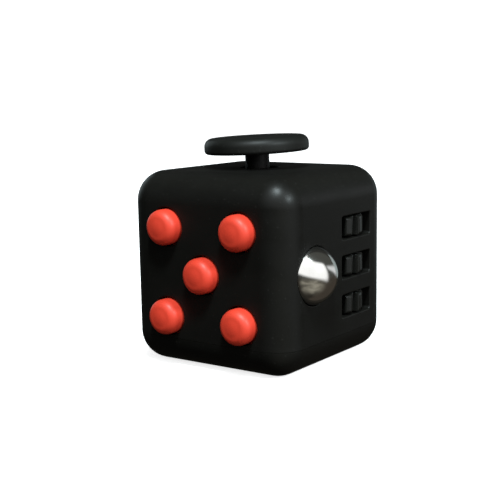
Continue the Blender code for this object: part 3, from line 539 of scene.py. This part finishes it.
def polished_steel(name, tint):
    """Mirror-polished steel with faint smudges and hairline scratches."""
    finish = Finish(name, Metallic=1.0)
    smudges = finish.fade(finish.noise(finish.where, 260, 5, 0.6), 0.45, 0.72)
    hairs = finish.noise(finish.centred((0, 0, 0), (1, 22, 5)), 900, 2, 0.7)
    other_hairs = finish.noise(finish.centred((0.01, 0.003, 0), (17, 1, 9)), 700, 2, 0.7)
    scratches = finish.fade(hairs, 0.62, 0.7) + finish.fade(other_hairs, 0.63, 0.7)
    gloss = 0.11 + 0.07 * smudges + 0.05 * scratches
    body = finish.blend(smudges, shade(tint, 1.0), shade(tint, 0.9))
    waves = finish.noise(finish.where, 240, 1)
    dents = finish.bump(waves, 0.006 * MM, 0.5)
    return finish.done(Base_Color=body, Roughness=gloss,
                       Normal=finish.bump(scratches, 0.002 * MM, 0.25, dents))


def bright_steel(name, tint, roughness, grain_scale):
    """Drawn or plated steel: fine lines, cloudy plating and dull patches."""
    finish = Finish(name, Metallic=1.0)
    lines = finish.noise(finish.centred((0, 0, 0), (1, 1, 9)), grain_scale, 4, 0.65)
    clouds = finish.noise(finish.where, 420, 4, 0.6)
    body = finish.blend(clouds, shade(tint, 0.8), shade(tint, 1.12))
    gloss = roughness + 0.16 * (clouds - 0.5) + 0.1 * (lines - 0.5)
    return finish.done(Base_Color=body, Roughness=gloss, Normal=finish.bump(lines, 0.006 * MM, 0.6))


# ---------- pieces


class FidgetOperator:
    """What every operator here shares."""

    bl_options = {"REGISTER", "UNDO"}

    @property
    def settings(self):
        return bpy.context.scene.fidget_cube


def casing_block(name, settings, seam, **cleared):
    """The cube with its edges rounded, cut off at the seam and left in edit mode."""
    cube = start(name, bpy.ops.mesh.primitive_cube_add, size=CUBE_SIZE, location=CENTRE)
    bpy.ops.mesh.bevel(offset=settings.edge_radius, segments=settings.edge_segments, affect="EDGES")
    bpy.ops.mesh.select_all(action="SELECT")
    bpy.ops.mesh.bisect(plane_co=(0, 0, seam), plane_no=(0, 0, 1), **cleared)
    return cube


class CasingBuilder(FidgetOperator, bpy.types.Operator):
    """Models the shell, with an opening for every control, and the base with its thumb dimple"""

    bl_idname = "fidget_cube.add_casing"
    bl_label = "Casing"

    def execute(self, context):
        settings = self.settings.casing
        finish = moulded_plastic("casing_plastic", settings.tint, settings.roughness, specular=0.155,
                                 worn=worn_casing_edges, dust=0.02)
        self.add_shell(settings, finish)
        self.add_base(settings, finish)
        return {"FINISHED"}

    def add_shell(self, settings, finish):
        seam = settings.seam_height + settings.seam_gap / 2
        shell = casing_block("casing_shell", settings, seam, clear_inner=True)
        bpy.ops.object.mode_set(mode="OBJECT")
        use_modifier(shell, "SOLIDIFY", thickness=settings.wall, offset=-1, use_even_offset=True)
        wall, rim = settings.wall, settings.rim_round
        for name in BUTTON_NAMES:
            spot = over(FRONT, node_middle("button_" + name))
            cut(shell, round_cutter("hole", spot, settings.button_hole, settings.button_hole, wall, rim))
        stick_inner, ball_inner = settings.stick_hole + 0.9 * MM, settings.ball_hole + 0.4 * MM
        cut(shell, round_cutter("hole", TOP, settings.stick_hole, stick_inner, wall, rim))
        spot = over(RIGHT, node_middle("steel_ball"))
        cut(shell, round_cutter("hole", spot, settings.ball_hole, ball_inner, wall, rim))
        gear_corner, rocker_corner = 0.5 * MM, 0.9 * MM
        for name in GEAR_NAMES:
            spot = over(RIGHT, JOINTS[name + "_gear_spin"]["pos_m"])
            cut(shell, window_cutter("window", spot, settings.window_width, settings.window_height,
                                     gear_corner, wall, rim))
        cut(shell, window_cutter("window", BACK, settings.rocker_width, settings.rocker_height,
                                 rocker_corner, wall, rim))
        # a round cutter goes BEYOND past its depth, which the recess around the dial must not do
        recess, recess_depth, bush_hole = settings.dial_recess, 0.5 * MM, 3.35 * MM
        cut(shell, round_cutter("recess", LEFT, recess, recess, recess_depth - BEYOND, rim))
        cut(shell, round_cutter("hole", LEFT, bush_hole, bush_hole, wall, 0.0))
        smooth(shell)
        hand_over(shell, "casing", "casing_shell", finish, "housing")

    def add_base(self, settings, finish):
        seam = settings.seam_height - settings.seam_gap / 2
        base = casing_block("casing_base", settings, seam, clear_outer=True, use_fill=True)
        lip_top, lip_clearance, lip_wall = 6.4 * MM, 0.25 * MM, 1.2 * MM
        floor = settings.thumb_depth + 1.7 * MM
        pick_faces(base, lambda middle, normal: normal.z > 0.99)
        bpy.ops.mesh.inset(thickness=settings.wall + lip_clearance)
        push((0, 0, lip_top - seam))
        bpy.ops.mesh.inset(thickness=lip_wall)
        push((0, 0, floor - lip_top))
        clean_up()
        half_width, near, far = 12 * MM, 12.2 * MM, 18 * MM
        gap = [(-half_width, far), (half_width, far), (half_width, near), (-half_width, near)]
        # the lip is open at the front, to clear the lower buttons
        cut(base, slab("clearance", BOTTOM, gap, -8 * MM, -settings.seam_height - 0.05 * MM))
        radius, depth = settings.thumb_radius, settings.thumb_depth
        sphere = (radius**2 + depth**2) / (2 * depth)
        span = math.degrees(math.asin((radius - 0.35 * MM) / sphere))
        bowl = arc((0, sphere - depth), sphere, -90, -90 + span, 14)
        rim = [(radius + 0.1 * MM, -0.05 * MM), (radius + 0.5 * MM, 0.0), (radius + 0.5 * MM, BEYOND)]
        cut(base, turned("dimple", BOTTOM, bowl + rim + [(0, BEYOND)]))
        smooth(base)
        hand_over(base, "casing", "casing_shell", finish, "base_cover")


class ButtonBuilder(FidgetOperator, bpy.types.Operator):
    """Models one push button, and copies it to the other four places"""

    bl_idname = "fidget_cube.add_buttons"
    bl_label = "Push buttons"

    def execute(self, context):
        settings = self.settings.buttons
        finish = self.finish(settings)
        middle = node_middle("button_centre")
        first = turned("button_cap_centre", over(FRONT, middle), self.profile(settings))
        smooth(first, 40)
        for name in BUTTON_NAMES:
            cap = first
            if name != "centre":
                offset = node_middle("button_" + name) - middle
                cap = duplicate(first, "button_cap_" + name, offset)
            hand_over(cap, "key_" + name, "buttons", finish, "button_" + name)
        return {"FINISHED"}

    def profile(self, settings):
        """The domed crown, the flange that holds the cap in, and the pin that works the contact."""
        radius = settings.radius
        flat_end, dome = radius - settings.shoulder, 0.2 * MM
        crown = [(flat_end * i / 8, settings.proud - dome * (i / 8) ** 2) for i in range(8)]
        crown += arc((flat_end, settings.proud - dome - settings.shoulder), settings.shoulder, 84, 0, 12)
        flange, flange_top, flange_bottom = settings.flange, -2.25 * MM, -3.05 * MM
        pin, pin_end = 1.0 * MM, -6.2 * MM
        crown += [(radius, -1.0 * MM), (radius, flange_top), (flange - 0.15 * MM, flange_top)]
        crown += [(flange, flange_top - 0.15 * MM), (flange, flange_bottom), (pin, flange_bottom)]
        return crown + [(pin, pin_end + 0.2 * MM), (pin - 0.2 * MM, pin_end), (0.0, pin_end)]

    def finish(self, settings):
        finish = Finish("button_plastic", IOR=1.5, Specular_IOR_Level=0.3)
        tint = settings.tint
        grains = finish.noise(finish.where, 6500, 3, 0.6)
        cloud = finish.noise(finish.where, 130, 3)
        rubs = finish.fade(finish.noise(finish.centred((0.01, 0, 0), (1, 1, 2.2)), 520, 5, 0.65), 0.5, 0.72)
        out = finish.parts(finish.where)[1] * -1.0
        crown = finish.fade(out, HALF + 0.9 * MM, HALF + 1.8 * MM)
        body = finish.blend(cloud, shade(tint, 0.9), shade(tint, 1.08))
        body = finish.blend(crown * 0.35, body, shade((tint[0] * 1.05, tint[1] * 1.25, tint[2] * 1.2), 1.0))
        gloss = settings.roughness + 0.06 * (cloud - 0.5) + 0.05 * rubs - 0.04 * crown
        ripple = finish.bump(cloud, 0.03 * MM, 0.4)
        return finish.done(Base_Color=body, Roughness=gloss,
                           Normal=finish.bump(grains, 0.008 * MM, 0.7, ripple))


class JoystickBuilder(FidgetOperator, bpy.types.Operator):
    """Models the thumb pad with its sleeve, and the stick with the dome that closes its hole"""

    bl_idname = "fidget_cube.add_joystick"
    bl_label = "Joystick"

    def execute(self, context):
        settings = self.settings.joystick
        pivot = Vector(JOINTS["stick_tilt_front_back"]["pos_m"])
        about_x = -settings.lean * math.sin(settings.lean_towards)
        about_y = settings.lean * math.cos(settings.lean_towards)
        place = (Matrix.Translation(pivot) @ Matrix.Rotation(about_x, 4, "X")
                 @ Matrix.Rotation(about_y, 4, "Y"))
        up = CUBE_SIZE - pivot.z
        self.add_pad(settings, place, up, pivot)
        self.add_stick(settings, place, up)
        return {"FINISHED"}

    def add_pad(self, settings, place, up, pivot):
        top, under = settings.pad_top + up, settings.pad_under + up
        radius, edge, stem = settings.pad_radius, settings.pad_edge, settings.stem_radius
        lower_edge, fillet, socket = settings.pad_lower_edge, 0.35 * MM, 1.4 * MM
        dish = [(radius * 0.78 * i / 10, top - 0.11 * MM * (1 + math.cos(math.pi * i / 10)))
                for i in range(11)]
        profile = dish + arc((radius - edge, top - edge), edge, 90, 0, 10)
        profile += arc((radius - lower_edge, under + lower_edge), lower_edge, 0, -90, 8)
        profile += arc((stem + fillet, under - fillet), fillet, 90, 180, 5)
        profile += [(stem, up - 0.15 * MM), (stem - 0.15 * MM, up - 0.3 * MM), (socket, up - 0.3 * MM)]
        profile += [(socket, top - 0.85 * MM), (0, top - 0.85 * MM)]
        pad = turned("thumb_pad", place, profile, 128)
        smooth(pad, 40)
        finish = Finish("thumb_rubber", IOR=1.45, Specular_IOR_Level=0.2)
        grains = finish.noise(finish.where, 4200, 3, 0.6)
        cloud = finish.noise(finish.where, 90, 3)
        grease = finish.fade(finish.noise(finish.centred((0.004, 0.001, 0), (1.6, 1, 1)), 240, 5, 0.6),
                             0.45, 0.7)
        specks = finish.fade(finish.noise(finish.where, 2300, 1, 0.4), 0.7, 0.75)
        # rim is the band round the pad's edge: its lighter colour is a painted sheen for the highlight along the
        # rim, and it is also a little rougher
        rim = finish.fade(finish.radius_from(pivot, 2), radius - 1.9 * MM, radius - 0.5 * MM)
        tint = settings.tint
        body = finish.blend(cloud, shade(tint, 0.8), shade(tint, 1.25))
        body = finish.blend(rim * 0.5, body, shade(tint, 1.7))
        body = finish.blend(specks * 0.03, body, (0.3, 0.3, 0.29, 1.0))
        gloss = 0.44 - 0.05 * grease + 0.04 * rim + 0.06 * (cloud - 0.5)
        ripple = finish.bump(cloud, 0.03 * MM, 0.5)
        rubber = finish.done(Base_Color=body, Roughness=gloss,
                             Normal=finish.bump(grains, 0.012 * MM, 0.8, ripple))
        hand_over(pad, "joystick", "thumb_pad", rubber, "thumb_disc")

    def add_stick(self, settings, place, up):
        core, neck, foot_core = 1.3 * MM, 2.5 * MM, 1.9 * MM
        dome, wall, edge = settings.dome_radius, 0.8 * MM, 2.4 * MM
        inner = dome - wall

        def height_angle(height, radius):
            return math.degrees(math.asin(height / radius))

        tip = settings.pad_top + up - 1.05 * MM
        profile = [(0, tip), (core - 0.2 * MM, tip), (core, tip - 0.2 * MM), (core, up - 0.45 * MM)]
        profile += arc((0, 0), dome, 90 - height_angle(neck, dome), height_angle(edge, dome), 12)
        profile += arc((0, 0), inner, height_angle(edge, inner), 90 - height_angle(foot_core, inner), 8)
        foot, foot_top, foot_bottom, peg, peg_end = 2.6 * MM, -1.8 * MM, -2.5 * MM, 1.1 * MM, -3.8 * MM
        profile += [(foot_core, foot_top), (foot, foot_top), (foot, foot_bottom), (peg, foot_bottom)]
        profile += [(peg, peg_end + 0.2 * MM), (peg - 0.2 * MM, peg_end), (0, peg_end)]
        stick = turned("joystick_core", place, profile)
        across = place @ Matrix.Rotation(math.pi / 2, 4, "X")
        pin_radius, reach = 0.6 * MM, 3 * MM
        bore = [(0, -reach), (pin_radius, -reach), (pin_radius, reach), (0, reach)]
        cut(stick, turned("cross_bore", across, bore, 32))
        smooth(stick, 35)
        finish = moulded_plastic("stick_plastic", settings.tint, 0.42)
        hand_over(stick, "joystick", "stick", finish, "joystick_stem")


class BallBuilder(FidgetOperator, bpy.types.Operator):
    """Models the polished steel ball"""

    bl_idname = "fidget_cube.add_ball"
    bl_label = "Ball"

    def execute(self, context):
        settings = self.settings.ball
        place = Matrix.Translation(node_middle("steel_ball"))
        ball = turned("polished_ball", place, arc((0, 0), settings.radius, 90, -90, 72), 144)
        smooth(ball, 60)
        hand_over(ball, "ball", "ball", polished_steel("ball_steel", settings.tint), "steel_ball")
        return {"FINISHED"}


class GearBuilder(FidgetOperator, bpy.types.Operator):
    """Models one toothed wheel, and copies it along the axle"""

    bl_idname = "fidget_cube.add_gears"
    bl_label = "Gear wheels"

    def execute(self, context):
        settings = self.settings.gears
        centres = {name: Vector(JOINTS[name + "_gear_spin"]["pos_m"]) for name in GEAR_NAMES}
        place = Matrix.Translation(centres["middle"]) @ Matrix.Rotation(math.pi / 2, 4, "Z")
        half = settings.width / 2
        first = slab("toothed_wheel_middle", place, self.outline(settings), -half, half)
        use_modifier(first, "BEVEL", width=0.12 * MM, segments=3, limit_method="ANGLE",
                     angle_limit=math.radians(40))
        inner, outer, depth, draft = 1.7 * MM, 3.5 * MM, 0.35 * MM, 0.1 * MM
        tip, ends = settings.tip, settings.end_round
        for way in (1, -1):
            past, floor = way * (half + BEYOND), way * (half - depth)
            groove = [(inner, past), (outer, past), (outer - draft, floor), (inner + draft, floor),
                      (inner, past)]
            cut(first, turned("groove", place, groove, 64))
            corner = [(radius, way * height) for radius, height in
                      arc((tip - ends, half - ends), ends, 90, 0, 8)]
            beyond = [(tip + BEYOND, way * (half - ends)), (tip + BEYOND, past), (tip - ends, past)]
            cut(first, turned("tooth_end", place, corner + beyond + corner[:1], 96))
        cut(first, bore_cutter("bore", place, settings.bore, half))
        smooth(first, 30)

        def worn_tips(finish):
            return finish.fade(finish.radius_from(centres["middle"], 2), settings.tip - 0.5 * MM,
                               settings.tip - 0.1 * MM)

        finish = moulded_plastic("gear_plastic", settings.tint, 0.3, worn=worn_tips, specular=0.2)
        for name in GEAR_NAMES:
            wheel = first
            if name != "middle":
                offset = centres[name] - centres["middle"]
                wheel = duplicate(first, "toothed_wheel_" + name, offset)
            hand_over(wheel, name + "_gear", "gear_wheels", finish, "gear_wheel_" + name)
        return {"FINISHED"}

    def outline(self, settings):
        """Blunt teeth on a round body, with the middle of a gap towards +x."""
        pitch = math.tau / settings.teeth
        points = []
        for tooth in range(settings.teeth):
            middle = (tooth + 0.5) * pitch
            flank = [(settings.root, 0.34), (settings.root + 0.25 * MM, 0.3), (settings.tip - 0.3 * MM, 0.25),
                     (settings.tip - 0.1 * MM, 0.21), (settings.tip, 0.15), (settings.tip, 0.0)]
            points += [(radius, middle - part * pitch) for radius, part in flank]
            points += [(radius, middle + part * pitch) for radius, part in flank[-2::-1]]
            points.append((settings.root, middle + 0.5 * pitch))
        return [(radius * math.cos(turn), radius * math.sin(turn)) for radius, turn in points]


class RockerBuilder(FidgetOperator, bpy.types.Operator):
    """Models the rocker key of the switch"""

    bl_idname = "fidget_cube.add_rocker"
    bl_label = "Rocker"

    def execute(self, context):
        settings, buttons = self.settings.rocker, self.settings.buttons
        pivot = seen_from(BACK, JOINTS["rocker_flip"]["pos_m"])
        swung = moved(BACK, 0, 0, pivot.z) @ Matrix.Rotation(settings.swing, 4, "X")
        sideways = swung @ Matrix(((0, 0, 1, 0), (1, 0, 0, 0), (0, 1, 0, 0), (0, 0, 0, 1)))
        half = settings.width / 2
        key = slab("rocker_key", sideways, self.outline(settings, -pivot.z), -half, half)
        use_modifier(key, "BEVEL", width=settings.edge, segments=4, limit_method="ANGLE",
                     angle_limit=math.radians(25))
        cut(key, bore_cutter("pin_bore", sideways, settings.bore, half))
        smooth(key, 30)
        finish = moulded_plastic("rocker_plastic", buttons.tint, buttons.roughness, grain=0.008 * MM)
        hand_over(key, "rocker_switch", "rocker_key", finish, "rocker")
        return {"FINISHED"}

    def outline(self, settings, surface):
        """The side view: a shallow V on top, a belly, and the heel that works the leaf spring."""
        end = 7.1 * MM
        rise = end * math.tan(settings.swing)
        right = [(end * 0.35, surface + rise * 0.33), (end, surface + rise),
                 (7.25 * MM, surface + rise - 1.2 * MM), (6.9 * MM, 1.3 * MM), (5.4 * MM, 0.4 * MM),
                 (3.0 * MM, -0.9 * MM), (1.6 * MM, -1.6 * MM), (0.8 * MM, -3.9 * MM),
                 (0.28 * MM, -4.4 * MM)]
        left = [(-across, height) for across, height in right]
        return [(0, surface + 0.05 * MM)] + left + right[::-1]


class DialBuilder(FidgetOperator, bpy.types.Operator):
    """Models the dial with its finger dimple"""

    bl_idname = "fidget_cube.add_dial"
    bl_label = "Dial"

    def execute(self, context):
        settings = self.settings.dial
        radius, proud, edge = settings.radius, settings.proud, settings.edge
        hub, bottom, hub_end, pilot, pilot_end = 2.4 * MM, -0.3 * MM, -3.2 * MM, 0.7 * MM, 0.2 * MM
        profile = [(0, proud), (radius - edge - 0.2 * MM, proud)]
        profile += arc((radius - edge, proud - edge), edge, 90, 0, 10)
        profile += [(radius, bottom + 0.15 * MM), (radius - 0.15 * MM, bottom), (hub, bottom)]
        profile += [(hub, hub_end), (pilot, hub_end), (pilot, pilot_end), (0, pilot_end)]
        dial = turned("dial_knob", LEFT, profile, 128)
        bowl_radius, depth = settings.dimple_radius, settings.dimple_depth
        sphere = (bowl_radius**2 + depth**2) / (2 * depth)
        span = math.degrees(math.asin((bowl_radius - 0.2 * MM) / sphere))
        bowl = arc((0, proud - depth + sphere), sphere, -90, -90 + span, 12)
        rim = [(bowl_radius + 0.05 * MM, proud - 0.03 * MM), (bowl_radius + 0.3 * MM, proud),
               (bowl_radius + 0.3 * MM, proud + BEYOND)]
        cut(dial, turned("finger_dimple", moved(LEFT, 0, settings.dimple_offset),
                         bowl + rim + [(0, proud + BEYOND)], 72))
        smooth(dial)
        centre = JOINTS["dial_spin"]["pos_m"]

        def worn_rim(finish):
            return finish.fade(finish.radius_from(centre, 0), radius - 1.4 * MM, radius - 0.2 * MM)

        casing = self.settings.casing
        finish = moulded_plastic("dial_plastic", casing.tint, 0.38, worn=worn_rim, dust=0.02)
        hand_over(dial, "spin_dial", "dial_knob", finish, "dial")
        return {"FINISHED"}


class InsideBuilder(FidgetOperator, bpy.types.Operator):
    """Gives the springs, screws and carriers inside the casing their finishes"""

    bl_idname = "fidget_cube.finish_inside"
    bl_label = "Inner parts"

    def execute(self, context):
        finishes = {
            "inner_plastic": moulded_plastic("inner_plastic", (0.012, 0.012, 0.0125), 0.5),
            "spring_steel": bright_steel("spring_steel", (0.52, 0.52, 0.53), 0.3, 2600),
            "zinc_steel": bright_steel("zinc_plated_steel", (0.6, 0.6, 0.62), 0.34, 1500),
        }
        for part in frame["record"]["subparts"]:
            finish = finishes.get(part["material_slot"])
            if finish is None:
                continue
            node = frame["nodes"][part["node"]]
            if not node.material_slots:
                node.data.materials.append(finish)
            for slot in node.material_slots:
                slot.material = finish
        return {"FINISHED"}


# ---------- stage


LAMPS = (  # name, azimuth and elevation (degrees), size (m), power (W)
    ("key_lamp", 37, 61, 0.13, 7.3),
    ("side_lamp", 85, 30, 0.1, 3.3),
    ("back_lamp", 176, 4, 0.4, 0.15),
    ("far_lamp", -108, 14, 0.4, 0.4),
)
LAMP_DISTANCE = 0.7
LAMP_COLOUR = (0.82, 0.97, 1.0)


def outwards(around, up):
    """The way out from the cube at an angle round it, from the button side, and one above level."""
    return Vector((math.sin(around) * math.cos(up), -math.cos(around) * math.cos(up), math.sin(up)))


class StageBuilder(FidgetOperator, bpy.types.Operator):
    """Sets up the pale floor, the soft studio light and the camera"""

    bl_idname = "fidget_cube.add_stage"
    bl_label = "Stage"

    def execute(self, context):
        self.add_floor()
        self.add_surroundings()
        self.add_lamps()
        self.add_camera(self.settings.stage)
        bpy.context.scene.view_settings.view_transform = "Standard"
        return {"FINISHED"}

    def add_floor(self):
        floor = start("floor", bpy.ops.mesh.primitive_plane_add, size=8, location=(0, 0, -0.02 * MM))
        bpy.ops.object.mode_set(mode="OBJECT")
        finish = Finish("pale_floor", Roughness=0.9, Emission_Color=(1, 1, 1, 1), Emission_Strength=0.75)
        mottle = finish.noise(finish.where, 3, 3)
        finish.done(Base_Color=finish.blend(mottle, (0.88, 0.88, 0.88, 1), (0.92, 0.92, 0.92, 1)))
        floor.data.materials.append(finish.material)
        floor.visible_glossy = floor.visible_diffuse = False

    def add_surroundings(self):
        """A dark room with bright windows above a table, as the polished ball mirrors it."""
        world = bpy.data.worlds.new("studio")
        bpy.context.scene.world = world
        world.use_nodes = True
        sheet = Sheet(world.node_tree)
        bearing = sheet.node("TexCoord", output="Generated")
        way = sheet.parts(bearing)
        height = sheet.maths("ARCSINE", way[2])
        round_about = sheet.maths("ARCTAN2", way[0], way[1] * -1.0)
        degree = math.radians(1)

        def window(left, right, bottom, top, edge):
            """One inside a lit opening, given its sides and its sloping sill and head, and none outside."""
            lit = sheet.fade(round_about, (left - edge) * degree, (left + edge) * degree)
            lit = lit * sheet.fade(round_about, (right - edge) * degree, (right + edge) * degree, 1, 0)
            sill = height - (bottom[0] * degree + round_about * bottom[1])
            head = height - (top[0] * degree + round_about * top[1])
            lit = lit * sheet.fade(sill, -edge * degree, edge * degree)
            return lit * sheet.fade(head, -edge * degree, edge * degree, 1, 0)

        facing = sheet.fade(round_about, -5 * degree, 20 * degree)
        facing = facing * sheet.fade(round_about, 165 * degree, 178 * degree, 1, 0)
        streaks = sheet.noise(sheet.node("Mapping", None, {"Vector": bearing, "Scale": (1, 1, 2.5)}), 1.6, 1)
        table = sheet.blend(sheet.fade(streaks, 0.35, 0.65), (0.13, 0.122, 0.1, 1), (0.36, 0.34, 0.28, 1))
        table = sheet.blend(sheet.fade(height, -75 * degree, -45 * degree), (0.03, 0.027, 0.022, 1), table)
        table = sheet.blend(sheet.fade(round_about, 60 * degree, 125 * degree), table, (0.06, 0.05, 0.04, 1))
        above = sheet.blend(facing, (0.032, 0.032, 0.03, 1), (0.075, 0.077, 0.07, 1))
        below = sheet.blend(facing, (0.024, 0.022, 0.018, 1), table)
        room = sheet.blend(sheet.fade(height, -14 * degree, 6 * degree), below, above)
        room = sheet.blend(window(-18, 113, (13, -0.25), (96, -0.51), 7), room, (1.32, 1.34, 1.36, 1))
        room = sheet.blend(window(121, 162, (86, -0.58), (77, -0.42), 5), room, (0.8, 0.82, 0.85, 1))
        camera_ray = sheet.node("LightPath", output="Is Camera Ray")
        colour_seen = sheet.blend(camera_ray, room, (1.2, 1.2, 1.2, 1))
        background = sheet.tree.nodes["Background"]
        sheet.fill(background, {"Color": colour_seen, "Strength": 1.0})

    def add_lamps(self):
        """Small soft lamps, which give the highlights on corners and caps, and light the far sides."""
        for name, azimuth, elevation, size, power in LAMPS:
            way = outwards(math.radians(azimuth), math.radians(elevation))
            turn = way.to_track_quat("Z", "Y").to_euler()
            place = CENTRE + way * LAMP_DISTANCE
            bpy.ops.object.light_add(type="AREA", location=place, rotation=turn)
            lamp = bpy.context.object
            lamp.name = lamp.data.name = name
            lamp.data.shape = "DISK"
            lamp.data.size = size
            lamp.data.energy = power
            lamp.data.color = LAMP_COLOUR

    def add_camera(self, settings):
        around, roll = settings.azimuth, settings.roll
        back = outwards(around, settings.elevation)
        level = Vector((math.cos(around), math.sin(around), 0))
        upright = back.cross(level)
        right = math.cos(roll) * level + math.sin(roll) * upright
        turn = Matrix((right, back.cross(right), back)).transposed().to_euler()
        bpy.ops.object.camera_add(location=CENTRE + back * settings.distance, rotation=turn)
        camera = bpy.context.object
        camera.name = camera.data.name = "view_camera"
        camera.data.sensor_fit = "HORIZONTAL"
        camera.data.sensor_width = 36
        camera.data.lens = settings.lens
        camera.data.shift_x, camera.data.shift_y = settings.shift_x, settings.shift_y
        camera.data.clip_start = 0.001
        bpy.context.scene.camera = camera


BUILDERS = (CasingBuilder, ButtonBuilder, JoystickBuilder, BallBuilder, GearBuilder, RockerBuilder,
            DialBuilder, InsideBuilder, StageBuilder)


class FIDGET_PT_sidebar(bpy.types.Panel):
    """Lists the cube's pieces in the sidebar"""

    bl_label = "Fidget Cube"
    bl_space_type = "VIEW_3D"
    bl_region_type = "UI"
    bl_category = "Fidget Cube"

    def draw(self, context):
        for builder in BUILDERS:
            self.layout.operator(builder.bl_idname)
        settings = context.scene.fidget_cube
        for group_name in settings.bl_rna.properties.keys():
            group = getattr(settings, group_name, None)
            if isinstance(group, bpy.types.PropertyGroup):
                box = self.layout.box()
                box.label(text=settings.bl_rna.properties[group_name].name)
                for name in group.__annotations__:
                    box.prop(group, name)


CLASSES = (CasingSettings, ButtonSettings, JoystickSettings, BallSettings, GearSettings, RockerSettings,
           DialSettings, StageSettings, FidgetCubeSettings, *BUILDERS, FIDGET_PT_sidebar)


def register():
    for one in CLASSES:
        bpy.utils.register_class(one)
    bpy.types.Scene.fidget_cube = PointerProperty(type=FidgetCubeSettings, name="Fidget cube",
                                                  description="Sizes and colours of the fidget cube")


def unregister():
    del bpy.types.Scene.fidget_cube
    for one in reversed(CLASSES):
        bpy.utils.unregister_class(one)


def main():
    register()
    for builder in BUILDERS:
        group, name = builder.bl_idname.split(".")
        getattr(getattr(bpy.ops, group), name)()


if __name__ == "__main__":
    main()
